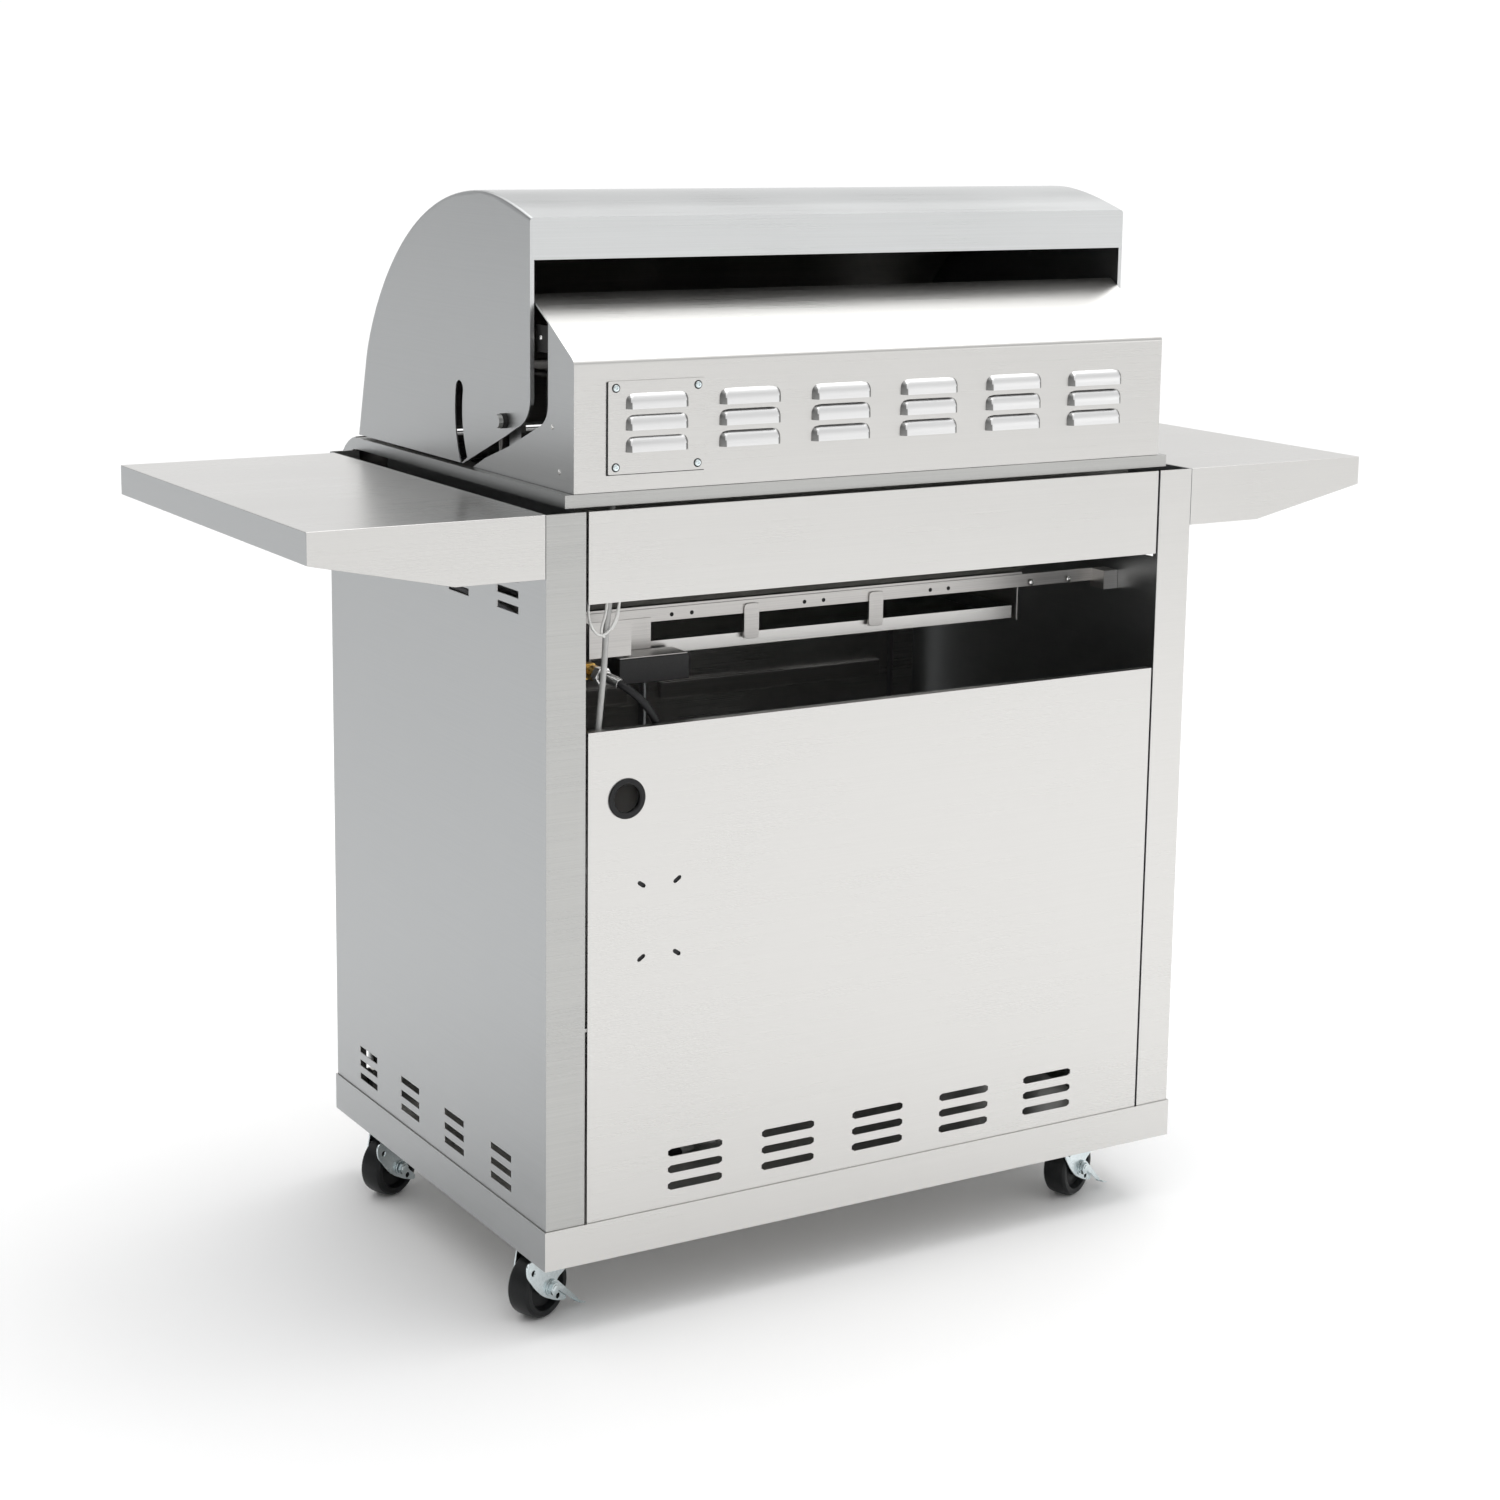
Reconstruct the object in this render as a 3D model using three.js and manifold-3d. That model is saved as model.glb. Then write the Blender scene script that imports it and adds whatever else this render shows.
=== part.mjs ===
// A free-standing gas barbecue on a wheeled cabinet, built in millimetres with +Z up.
// The user stands at -Y. The rear of the cabinet, with its vents and its service opening, faces +Y.
import * as THREE from 'three';
import { mergeVertices } from 'three/addons/utils/BufferGeometryUtils.js';
import Module from 'manifold-3d';

const wasm = await Module();
wasm.setup();

// ---- Driving dimensions -------------------------------------------------------------------------
const GAP = 0.3; // between pieces that touch
const SHEET = 1.5; // sheet metal

const CABINET = { halfWidth: 445, halfDepth: 300, post: 49, frontPost: 40 };
const SKIRT = { bottom: 84, top: 131, proud: 2 };
const FLOOR = { bottom: 101.5, top: 103 };
const PANEL_TOP = 947;
const SHELF = { reach: 720, front: -284, rear: 300, rim: 35.5, root: 70.5, bend: 552.5 };

const REAR = { halfWidth: 393, apronBottom: 844.5, panelTop: 701 };
const DOOR = { inner: 1.5, outer: 402, bottom: 137, top: 738, depth: 14, pinX: 392, pinRadius: 3 };
const DOOR_HANDLE = { x: 42, y: -345, radius: 7, bottom: 430, top: 700 };
const DECK = { bottom: 740, top: 799, halfWidth: 405 };

const RIM = { halfWidth: 415, front: -289, rear: 286, bottom: 949.7, top: 964.3 };
const TUB = { halfWidth: 385, front: -258, rear: 250, shoulder: 872, halfThroat: 303, throatRear: 133 };
const THROAT = { top: 803, bottom: 784.5 };
const LEDGE_TOP = 924;

const HOOD = { halfWidth: 409.6, sheet: 1.5, bottom: 967.5, rear: 190.7, bandBottom: 1212.5 };
const PIVOT = { y: 128, z: 1029, radius: 5 };
const SPIT_SLOT = { radius: 123.5, width: 22, from: 165, to: 208 };
const HOOD_HANDLE = { y: -345, z: 1043, radius: 12.5, halfWidth: 340, post: 290 };
const LINER = { halfWidth: 388, offset: 24, sheet: 1.2 };

const HOUSING = { halfWidth: 403.3, rear: 284, corner: 1109, ridgeY: 178, ridgeZ: 1174.6, cheek: 222 };
const LOUVRE = {
  width: 80, lip: 66, height: 18, depth: 7, columns: [60.5, 181.5, 301.5], rows: [1064, 1040.5, 1016.5],
};
const COVER = { x: 301.4, z: 1034.8, halfWidth: 61, halfHeight: 51.3 };

const PANEL = { halfWidth: 414, face: -338, bottom: 800, brow: 905 };
const KNOB = { z: 852, radius: 25, front: -378, back: -344, stem: 4 };
const KNOB_X = [-276, -92, 92, 276, 368];
const BUTTON = { x: -368, radius: 9, front: -345 };
const BURNER_X = [-276, -92, 92, 276];
const MANIFOLD = { y: -299, z: 882, radius: 8, port: 872 };
const VALVE_SOCKET_END = -308; // each knob stem ends 6 mm before the bottom of its valve's socket

const TRAY = { halfWidth: 300, front: -285, rear: 131.5, bottom: 744, top: 760 };
const INLET = { x: 345, z: 750 };

const WHEEL = { radius: 38, halfWidth: 16, trail: 41.6, sides: 24 };
const CASTER = { x: 382, y: 212, heading: 24 * Math.PI / 180 };
const FRONT_MOST = KNOB.front;
const REAR_MOST = CABINET.halfDepth + SKIRT.proud;

// ---- Colours ------------------------------------------------------------------------------------
function finish(color, roughness, metalness) {
  return { color, roughness, metalness };
}
const STEEL = finish(0xc9c7c2, 0.38, 0.9);
const HOOD_STEEL = finish(0xa9abab, 0.36, 0.9);
const POLISHED = finish(0xd6d6d4, 0.15, 1);
const IRON = finish(0x222222, 0.7, 0.4);
const ZINC = finish(0xb9c2c4, 0.35, 0.9);
const BRASS = finish(0xc8963c, 0.3, 0.9);
const RUBBER = finish(0x141414, 0.75, 0);
const PLASTIC = finish(0x1d1e20, 0.5, 0);
const GREY_PLASTIC = finish(0x9c9c98, 0.5, 0);

const grill = new THREE.Group();

// ---- Solids -------------------------------------------------------------------------------------
function solid(geometry) {
  const bare = geometry.clone();
  bare.deleteAttribute('normal');
  bare.deleteAttribute('uv');
  const merged = mergeVertices(bare, 1e-4);
  return new wasm.Manifold(new wasm.Mesh({
    numProp: 3,
    vertProperties: new Float32Array(merged.attributes.position.array),
    triVerts: new Uint32Array(merged.index.array),
  }));
}

function geometryOf(body) {
  const mesh = body.getMesh();
  const geometry = new THREE.BufferGeometry();
  geometry.setAttribute('position', new THREE.BufferAttribute(new Float32Array(mesh.vertProperties), 3));
  geometry.setIndex(new THREE.BufferAttribute(new Uint32Array(mesh.triVerts), 1));
  geometry.computeVertexNormals();
  return geometry;
}

function join(...bodies) {
  return bodies.reduce((whole, body) => whole.add(body));
}

function cut(body, ...tools) {
  return tools.reduce((rest, tool) => rest.subtract(tool), body);
}

function box(x0, x1, y0, y1, z0, z1) {
  const geometry = new THREE.BoxGeometry(x1 - x0, y1 - y0, z1 - z0);
  geometry.translate((x0 + x1) / 2, (y0 + y1) / 2, (z0 + z1) / 2);
  return solid(geometry);
}

// A box on one side of the object: side is +1 or -1, and x0 < x1 are distances from the middle.
function sideBox(side, x0, x1, y0, y1, z0, z1) {
  return side > 0 ? box(x0, x1, y0, y1, z0, z1) : box(-x1, -x0, y0, y1, z0, z1);
}

const BASES = {
  X: [new THREE.Vector3(0, 1, 0), new THREE.Vector3(0, 0, 1), new THREE.Vector3(1, 0, 0)],
  Y: [new THREE.Vector3(1, 0, 0), new THREE.Vector3(0, 0, 1), new THREE.Vector3(0, -1, 0)],
  Z: [new THREE.Vector3(1, 0, 0), new THREE.Vector3(0, 1, 0), new THREE.Vector3(0, 0, 1)],
};

// An outline in the plane across an axis, pushed along that axis from one place to another.
// The outline's points are (y, z) for X, (x, z) for Y and (x, y) for Z.
function prism(axis, outline, from, to) {
  const shape = new THREE.Shape(outline.map(([a, b]) => new THREE.Vector2(a, b)));
  const geometry = new THREE.ExtrudeGeometry(shape, { depth: to - from, bevelEnabled: false, curveSegments: 8 });
  geometry.applyMatrix4(new THREE.Matrix4().makeBasis(...BASES[axis]));
  const start = { X: [from, 0, 0], Y: [0, to, 0], Z: [0, 0, from] }[axis];
  geometry.translate(...start);
  return solid(geometry);
}

// A round bar along an axis, centred on (a, b) in the plane across it.
function bar(axis, from, to, a, b, radius, sides = 12) {
  const turn = Math.PI / sides;
  const ring = [];
  for (let i = 0; i < sides; i += 1) {
    const angle = 2 * Math.PI * i / sides + turn;
    ring.push([a + radius * Math.cos(angle), b + radius * Math.sin(angle)]);
  }
  return prism(axis, ring, from, to);
}

// A tube through hand-placed points.
function hose(points, radius, sides, steps) {
  const curve = new THREE.CatmullRomCurve3(points.map((p) => new THREE.Vector3(...p)), false, 'centripetal');
  const section = new THREE.Shape();
  for (let i = 0; i < sides; i += 1) {
    const angle = 2 * Math.PI * i / sides;
    const place = [radius * Math.cos(angle), radius * Math.sin(angle)];
    if (i === 0) section.moveTo(...place);
    else section.lineTo(...place);
  }
  return solid(new THREE.ExtrudeGeometry(section, { steps, extrudePath: curve, bevelEnabled: false }));
}

// An open or closed line moved sideways by a distance: to the right of its direction when positive.
function offset(line, distance, closed = false) {
  const count = line.length;
  return line.map((point, i) => {
    const before = closed ? line[(i + count - 1) % count] : line[Math.max(i - 1, 0)];
    const after = closed ? line[(i + 1) % count] : line[Math.min(i + 1, count - 1)];
    const here = new THREE.Vector2(...point);
    const into = here.clone().sub(new THREE.Vector2(...before));
    const out = new THREE.Vector2(...after).sub(here);
    if (into.length() === 0) into.copy(out);
    if (out.length() === 0) out.copy(into);
    const a = new THREE.Vector2(into.y, -into.x).normalize();
    const b = new THREE.Vector2(out.y, -out.x).normalize();
    const middle = a.clone().add(b).normalize();
    const reach = distance / Math.max(middle.dot(a), 0.3);
    return [point[0] + middle.x * reach, point[1] + middle.y * reach];
  });
}

function addMesh(name, body, look, parent = grill) {
  const material = new THREE.MeshStandardMaterial(look);
  const mesh = new THREE.Mesh(geometryOf(body), material);
  mesh.name = name;
  parent.add(mesh);
  return mesh;
}

function curvePoints(curve, divisions, skipFirst = false) {
  return curve.getPoints(divisions).slice(skipFirst ? 1 : 0).map((p) => [p.x, p.y]);
}

function v2(x, y) {
  return new THREE.Vector2(x, y);
}

// ---- Cart ---------------------------------------------------------------------------------------
function buildBasePan() {
  const w = CABINET.halfWidth + SKIRT.proud;
  const d = CABINET.halfDepth + SKIRT.proud;
  const wall = SKIRT.proud - GAP;
  const ring = cut(
    box(-w, w, -d, d, SKIRT.bottom, SKIRT.top),
    box(-w + wall, w - wall, -d + wall, d - wall, SKIRT.bottom - 1, SKIRT.top + 1),
  );
  const floor = box(-w + 1, w - 1, -d + 1, d - 1, FLOOR.bottom, FLOOR.top);
  const sill = box(-403, 403, -298, -284, FLOOR.top - 1, 133);
  const holes = [];
  for (const x of [-CASTER.x, CASTER.x]) {
    for (const y of [-CASTER.y, CASTER.y]) {
      holes.push(bar('Z', FLOOR.bottom - 1, FLOOR.top + 1, x, y, 6.2, 8));
    }
    const pinX = Math.sign(x) * DOOR.pinX;
    holes.push(bar('Z', 122, 134, pinX, -CABINET.halfDepth + DOOR.depth / 2, DOOR.pinRadius + 0.5, 8));
  }
  addMesh('base_pan', cut(join(ring, floor, sill), ...holes), STEEL);
}

const SIDE_VENT_PITCH = 127.5;
const SIDE_VENT_LENGTH = 54;
function buildSidePanel(name, side) {
  const { halfWidth, halfDepth, post, frontPost } = CABINET;
  const bottom = FLOOR.top + GAP;
  const channel = [
    [halfWidth - frontPost, -halfDepth], [halfWidth, -halfDepth], [halfWidth, halfDepth],
    [halfWidth - post, halfDepth], [halfWidth - post, halfDepth - SHEET], [halfWidth - SHEET, halfDepth - SHEET],
    [halfWidth - SHEET, -halfDepth + SHEET], [halfWidth - frontPost, -halfDepth + SHEET],
  ].map(([x, y]) => [side * x, y]);
  const slots = [];
  const addGroups = (lastCentre, heights) => {
    for (let i = 0; i < 4; i += 1) {
      const y = lastCentre - i * SIDE_VENT_PITCH;
      for (const z of heights) {
        const half = SIDE_VENT_LENGTH / 2;
        slots.push(sideBox(side, halfWidth - 3, halfWidth + 1, y - half, y + half, z - 4, z + 4));
      }
    }
  };
  addGroups(184, [187, 169, 151.5]);
  addGroups(205, [867, 849, 831.5]);
  addMesh(name, cut(prism('Z', channel, bottom, PANEL_TOP), ...slots), STEEL);
}

function slotOutline(x, z, length, height) {
  const r = height / 2;
  const reach = length / 2 - r;
  const outline = [];
  for (let i = 0; i <= 3; i += 1) {
    const angle = -Math.PI / 2 + Math.PI * i / 3;
    outline.push([x + reach + r * Math.cos(angle), z + r * Math.sin(angle)]);
  }
  for (let i = 0; i <= 3; i += 1) {
    const angle = Math.PI / 2 + Math.PI * i / 3;
    outline.push([x - reach + r * Math.cos(angle), z + r * Math.sin(angle)]);
  }
  return outline;
}

const GROMMET = { x: 344.5, z: 621.7, hole: 21 };
const BOX_KEYHOLES = { x: [279, 325], z: [434.5, 520.3], length: 12, height: 5, tilt: 35 * Math.PI / 180 };
function buildRearPanel() {
  const { halfWidth, panelTop } = REAR;
  const face = CABINET.halfDepth;
  const sheet = box(-halfWidth, halfWidth, face - SHEET, face, FLOOR.top + GAP, panelTop);
  const hem = box(-halfWidth, halfWidth, face - 11.5, face - 1, panelTop - SHEET, panelTop);
  const cuts = [];
  for (let column = -2; column <= 2; column += 1) {
    for (const z of [195.5, 175.3, 155.2]) {
      cuts.push(prism('Y', slotOutline(column * 126, z, 73.5, 9.5), face - 3, face + 1));
    }
  }
  cuts.push(bar('Y', face - 3, face + 1, GROMMET.x, GROMMET.z, GROMMET.hole, 20));
  BOX_KEYHOLES.x.forEach((x, i) => {
    BOX_KEYHOLES.z.forEach((z, k) => {
      const slant = (i === k ? 1 : -1) * BOX_KEYHOLES.tilt;
      const spun = slotOutline(0, 0, BOX_KEYHOLES.length, BOX_KEYHOLES.height).map(([a, b]) => [
        x + a * Math.cos(slant) - b * Math.sin(slant),
        z + a * Math.sin(slant) + b * Math.cos(slant),
      ]);
      cuts.push(prism('Y', spun, face - 3, face + 1));
    });
  });
  addMesh('rear_panel', cut(join(sheet, hem), ...cuts), STEEL);
}

function buildRearApron() {
  const face = CABINET.halfDepth;
  const sheet = box(-REAR.halfWidth, REAR.halfWidth, face - SHEET, face, REAR.apronBottom, PANEL_TOP);
  const hem = box(-REAR.halfWidth, REAR.halfWidth, face - 14, face - 1, REAR.apronBottom, REAR.apronBottom + SHEET);
  addMesh('rear_apron', join(sheet, hem), STEEL);
}

function buildGrommet() {
  const { x, z, hole } = GROMMET;
  const flange = bar('Y', 300 + GAP, 302, x, z, hole + 2.5, 20);
  const neck = bar('Y', 296, 301, x, z, hole - GAP - 0.2, 20);
  addMesh('cable_grommet', cut(join(flange, neck), bar('Y', 290, 310, x, z, 16.5, 20)), RUBBER);
}

function buildSideShelf(name, side) {
  const root = CABINET.halfWidth + GAP;
  const edge = [
    [root, PANEL_TOP], [SHELF.reach, PANEL_TOP], [SHELF.reach, PANEL_TOP - SHELF.rim],
    [SHELF.bend, PANEL_TOP - SHELF.root], [root, PANEL_TOP - SHELF.root],
  ];
  const hollow = [
    [root - 1, PANEL_TOP - SHEET],
    [SHELF.reach - SHEET, PANEL_TOP - SHEET],
    [SHELF.reach - SHEET, PANEL_TOP - SHELF.root - 1],
    [root - 1, PANEL_TOP - SHELF.root - 1],
  ];
  const mirror = (points) => points.map(([x, z]) => [side * x, z]);
  const outer = prism('Y', mirror(edge), SHELF.front, SHELF.rear);
  const inner = prism('Y', mirror(hollow), SHELF.front + SHEET, SHELF.rear - SHEET);
  addMesh(name, cut(outer, inner), STEEL);
}

function buildFrontDeck() {
  const face = -CABINET.halfDepth;
  const plate = box(-DECK.halfWidth + 1, DECK.halfWidth - 1, face, face + SHEET, DECK.bottom, DECK.top);
  const ledge = box(-DECK.halfWidth + 1, DECK.halfWidth - 1, face, face + 20, DECK.bottom, DECK.bottom + SHEET);
  const mouth = box(-305.2, 305.2, face - 1, face + 3, DECK.bottom + SHEET, DECK.top + 1);
  const pins = [-1, 1].map((side) => bar(
    'Z', DECK.bottom - 1, DECK.bottom + 4, side * DOOR.pinX, face + DOOR.depth / 2, DOOR.pinRadius + 0.5, 8,
  ));
  addMesh('front_rail', cut(join(plate, ledge), mouth, ...pins), STEEL);
}

function buildDoor(name, side) {
  const face = -CABINET.halfDepth;
  const { inner, outer, bottom, top, depth, pinX, pinRadius } = DOOR;
  const skin = sideBox(side, inner, outer, face, face + depth, bottom, top);
  const hollow = sideBox(side, inner + 1.2, outer - 1.2, face + 1.2, face + depth + 1, bottom + 1.2, top - 1.2);
  const pinY = face + depth / 2;
  const lower = bar('Z', bottom - 11, bottom + 14, side * pinX, pinY, pinRadius, 8);
  const upper = bar('Z', top - 14, top + 5, side * pinX, pinY, pinRadius, 8);
  addMesh(name, join(cut(skin, hollow), lower, upper), STEEL);
}

function buildDoorHandle(name, side) {
  const { x, y, radius, bottom, top } = DOOR_HANDLE;
  const tube = bar('Z', bottom, top, side * x, y, radius, 12);
  const posts = [bottom + 30, top - 30].map((z) => (
    bar('Y', y, -CABINET.halfDepth - GAP, side * x, z, 5, 10)
  ));
  addMesh(name, join(tube, ...posts), POLISHED);
}

// ---- Grill head ---------------------------------------------------------------------------------
function tubOutlines(wall) {
  const front = TUB.front + wall;
  const rear = TUB.rear - wall;
  const half = TUB.halfWidth - wall;
  const throat = TUB.halfThroat - wall;
  const top = RIM.top + (wall ? 5 : -1);
  const bottom = THROAT.bottom - (wall ? 5 : 0);
  const across = [
    [-half, top], [-half, TUB.shoulder], [-throat, THROAT.top], [-throat, bottom],
    [throat, bottom], [throat, THROAT.top], [half, TUB.shoulder], [half, top],
  ];
  const along = [
    [front, top], [front, bottom], [TUB.throatRear - wall, bottom],
    [TUB.throatRear - wall, THROAT.top], [rear, TUB.shoulder + 13], [rear, top],
  ];
  return { across, along };
}

function tubSolid(wall) {
  const { across, along } = tubOutlines(wall);
  return prism('Y', across, TUB.front - 10, TUB.rear + 10).intersect(prism('X', along, -450, 450));
}

function buildFirebox() {
  const { halfWidth, front, rear, bottom, top } = RIM;
  const rim = cut(
    box(-halfWidth, halfWidth, front, rear, bottom, top),
    box(-halfWidth + SHEET, halfWidth - SHEET, front + SHEET, rear - SHEET, bottom - 1, top - SHEET),
  );
  const ledges = [
    box(-380, 380, TUB.front + 1, TUB.front + 14, LEDGE_TOP - SHEET, LEDGE_TOP),
    box(-380, 380, 216, TUB.rear - 1, LEDGE_TOP - SHEET, LEDGE_TOP),
  ];
  const ears = [-1, 1].map((side) => {
    const plate = sideBox(side, 391, 397, PIVOT.y - 15, PIVOT.y + 15, top - 20, PIVOT.z + 14);
    const foot = sideBox(side, 383, 397, PIVOT.y - 15, PIVOT.y + 15, top - SHEET, top + 6);
    const pin = side > 0
      ? bar('X', 392, 413, PIVOT.y, PIVOT.z, PIVOT.radius, 12)
      : bar('X', -413, -392, PIVOT.y, PIVOT.z, PIVOT.radius, 12);
    const head = side > 0
      ? bar('X', 410.2, 421, PIVOT.y, PIVOT.z, 8, 12)
      : bar('X', -421, -410.2, PIVOT.y, PIVOT.z, 8, 12);
    return join(plate, foot, pin, head);
  });
  const ports = BURNER_X.map((x) => bar('Y', TUB.front - 2, TUB.front + 4, x, MANIFOLD.port, 11, 12));
  const body = join(rim, tubSolid(0));
  const hollowed = cut(body, tubSolid(SHEET), ...ports);
  addMesh('firebox', join(hollowed, ...ledges, ...ears), STEEL);
}

function browCurve(inset) {
  const brow = new THREE.QuadraticBezierCurve(v2(-289.5, 965.5), v2(-330, 958), v2(-346, 920));
  const chin = new THREE.QuadraticBezierCurve(v2(-346, 920), v2(-350, 908), v2(PANEL.face, PANEL.brow));
  const line = [...curvePoints(brow, 6), ...curvePoints(chin, 3, true), [PANEL.face, PANEL.bottom]];
  return inset ? offset(line, -inset) : line;
}

function buildControlPanel() {
  const back = -CABINET.halfDepth - GAP;
  const outer = [...browCurve(0), [back, PANEL.bottom], [back, PANEL_TOP + 1.2], [-289.5, PANEL_TOP + 1.2]];
  const inside = browCurve(SHEET).slice(0, -1);
  const inner = [
    [-280, 964], ...inside, [PANEL.face + SHEET, PANEL.bottom + SHEET],
    [back - SHEET, PANEL.bottom + SHEET], [back - SHEET, PANEL.bottom + 14], [-280, PANEL.bottom + 14],
  ];
  const shell = prism('X', outer, -PANEL.halfWidth, PANEL.halfWidth);
  const hollow = prism('X', inner, -PANEL.halfWidth + SHEET, PANEL.halfWidth - SHEET);
  const holes = KNOB_X.map((x) => bar('Y', PANEL.face - 2, PANEL.face + 4, x, KNOB.z, 6, 8));
  const buttonHole = bar('Y', PANEL.face - 2, PANEL.face + 4, BUTTON.x, KNOB.z, BUTTON.radius + 0.6, 12);
  addMesh('control_panel', cut(shell, hollow, ...holes, buttonHole), STEEL);
}

function cheekEdge() {
  const corner = new THREE.QuadraticBezierCurve(v2(HOUSING.cheek, 1058), v2(HOUSING.cheek, 1036), v2(196, 1028));
  return [...curvePoints(corner, 4), [127, 1000], [62, 978.6], [30, RIM.top + GAP]];
}

// A raised scoop with slanted ends and a lip along its lower edge. A wall makes it smaller, to hollow another.
function louvre(x, back, front, z, wall) {
  const low = z - LOUVRE.height / 2 - wall;
  const high = z + LOUVRE.height / 2 - 2 * wall;
  const points = [];
  for (const side of [-1, 1]) {
    points.push([x + side * (LOUVRE.lip / 2 - 2 - wall), back, high]);
    points.push([x + side * (LOUVRE.width / 2 - wall), back, low]);
    points.push([x + side * (LOUVRE.lip / 2 - wall), front, low]);
    points.push([x + side * (LOUVRE.lip / 2 - wall), front, low + 4 + wall]);
    points.push([x + side * (LOUVRE.lip / 2 - 1 - wall), front - 2.5, low + 12]);
  }
  return wasm.Manifold.hull(points);
}

function buildHousing() {
  const { halfWidth, rear, corner, ridgeY, ridgeZ, cheek } = HOUSING;
  const slope = (ridgeZ - corner) / (rear - ridgeY);
  const topAt = (y) => corner + (rear - y) * slope;
  const base = RIM.top + GAP;
  const side = [[rear, base], [rear, corner], [cheek, topAt(cheek)], ...cheekEdge()];
  const room = [
    [-50, base - 5], [rear - SHEET, base - 5], [rear - SHEET, corner - 1], [cheek - 40, topAt(cheek - 40) - 1.8],
    [-50, topAt(cheek - 40) - 1.8],
  ];
  const roof = [
    [rear, corner], [ridgeY, ridgeZ], [ridgeY - 0.8, ridgeZ - 1.3], [rear - 0.8, corner - 1.3],
  ];
  const shell = cut(
    prism('X', side, -halfWidth, halfWidth),
    prism('X', room, -halfWidth + SHEET, halfWidth - SHEET),
  );
  const louvres = [];
  for (const z of LOUVRE.rows) {
    for (const middle of LOUVRE.columns) {
      for (const x of [-middle, middle]) {
        const behindCover = Math.abs(x - COVER.x) < 1;
        if (!behindCover) louvres.push(louvre(x, rear - 0.5, rear + LOUVRE.depth, z, 0));
      }
    }
  }
  const plateHole = box(COVER.x - 50, COVER.x + 50, rear - 3, rear + 1, COVER.z - 40, COVER.z + 40);
  const roofed = join(shell, prism('X', roof, -halfWidth, halfWidth));
  addMesh('rear_housing', cut(join(roofed, ...louvres), plateHole), STEEL);
}

function buildCoverPlate() {
  const { x, z, halfWidth, halfHeight } = COVER;
  const y = HOUSING.rear + GAP;
  const plate = box(x - halfWidth, x + halfWidth, y, y + 1.5, z - halfHeight, z + halfHeight);
  const scoops = LOUVRE.rows.map((row) => louvre(x, y + 1, y + LOUVRE.depth, row, 0));
  const windows = LOUVRE.rows.map((row) => louvre(x, y - 1, y + LOUVRE.depth - 1.5, row, 1.5));
  addMesh('louvre_cover_plate', cut(join(plate, ...scoops), ...windows), STEEL);
}

function buildBurner(name, x) {
  const tube = cut(
    box(x - 20, x + 20, -236, 205, 866, 886),
    box(x - 18.5, x + 18.5, -240, 203.5, 867.5, 884.5),
  );
  const face = cut(box(x - 20, x + 20, -236, -234.5, 866, 886), bar('Y', -240, -230, x, 876, 7.5, 10));
  const neck = cut(bar('Y', -285, -235, x, MANIFOLD.port, 9, 10), bar('Y', -286, -230, x, MANIFOLD.port, 7.5, 10));
  addMesh(name, join(tube, face, neck), STEEL);
}

const GRATE_BARS = 10;
function buildGrate(name, side) {
  const low = LEDGE_TOP + GAP;
  const high = low + 10;
  const inner = 2;
  const outer = 379;
  const front = TUB.front + 4;
  const rear = 226;
  const rails = [front, (front + rear) / 2 - 4, rear - 8].map((y) => (
    sideBox(side, inner, outer, y, y + 8, low, high)
  ));
  const bars = [];
  const step = (outer - inner - 7) / (GRATE_BARS - 1);
  for (let i = 0; i < GRATE_BARS; i += 1) {
    const x = inner + i * step;
    bars.push(sideBox(side, x, x + 7, front + 1, rear - 1, low + 2, high + 4));
  }
  addMesh(name, join(...rails, ...bars), IRON);
}

function buildWarmingRack() {
  const z = 1082;
  const rods = [20, 170].map((y) => bar('X', -373, 373, y, z, 4, 4));
  for (const x of [-368, 368]) {
    rods.push(bar('Y', 15, 175, x, z, 4, 4));
    for (const y of [34, 156]) rods.push(bar('Z', LEDGE_TOP + 3, z, x, y, 4, 4));
  }
  for (const y of [50, 80, 110, 140]) rods.push(bar('X', -368, 368, y, z, 2, 4));
  addMesh('warming_rack', join(...rods), POLISHED);
}

function buildRearBurner() {
  const frame = cut(
    box(-250, 250, 244, 282 - GAP, 990, 1082),
    box(-240, 240, 243, 252, 1000, 1072),
    box(-248, 248, 256, 290, 992, 1080),
  );
  addMesh('rear_burner', frame, STEEL);
}

// The pipe behind the control panel, its five valves, and the supply pipe back to the inlet.
function buildManifold() {
  const { y, z, radius, port } = MANIFOLD;
  const pipe = bar('X', -300, 386, y, z, radius, 10);
  const valves = KNOB_X.map((x) => cut(
    join(box(x - 11, x + 11, -316, -292, 838, z + 4), bar('Y', -293, -286.5, x, port, 4, 8)),
    bar('Y', -317, VALVE_SOCKET_END, x, KNOB.z, KNOB.stem + 0.5, 10),
  ));
  const supply = hose([
    [380, y, z], [390, y + 3, z], [398, y + 13, z - 2], [404, -272, 874],
    [411, -248, 862], [418, -205, 842], [420, -150, 826], [420, 60, 818], [420, 135, 816],
    [416, 172, 806], [405, 193, 782], [392, 199, 760], [380, 200, INLET.z + 1], [366.4, 200, INLET.z],
  ], 6, 8, 20);
  addMesh('gas_manifold', join(pipe, supply, ...valves), STEEL);
}

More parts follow.
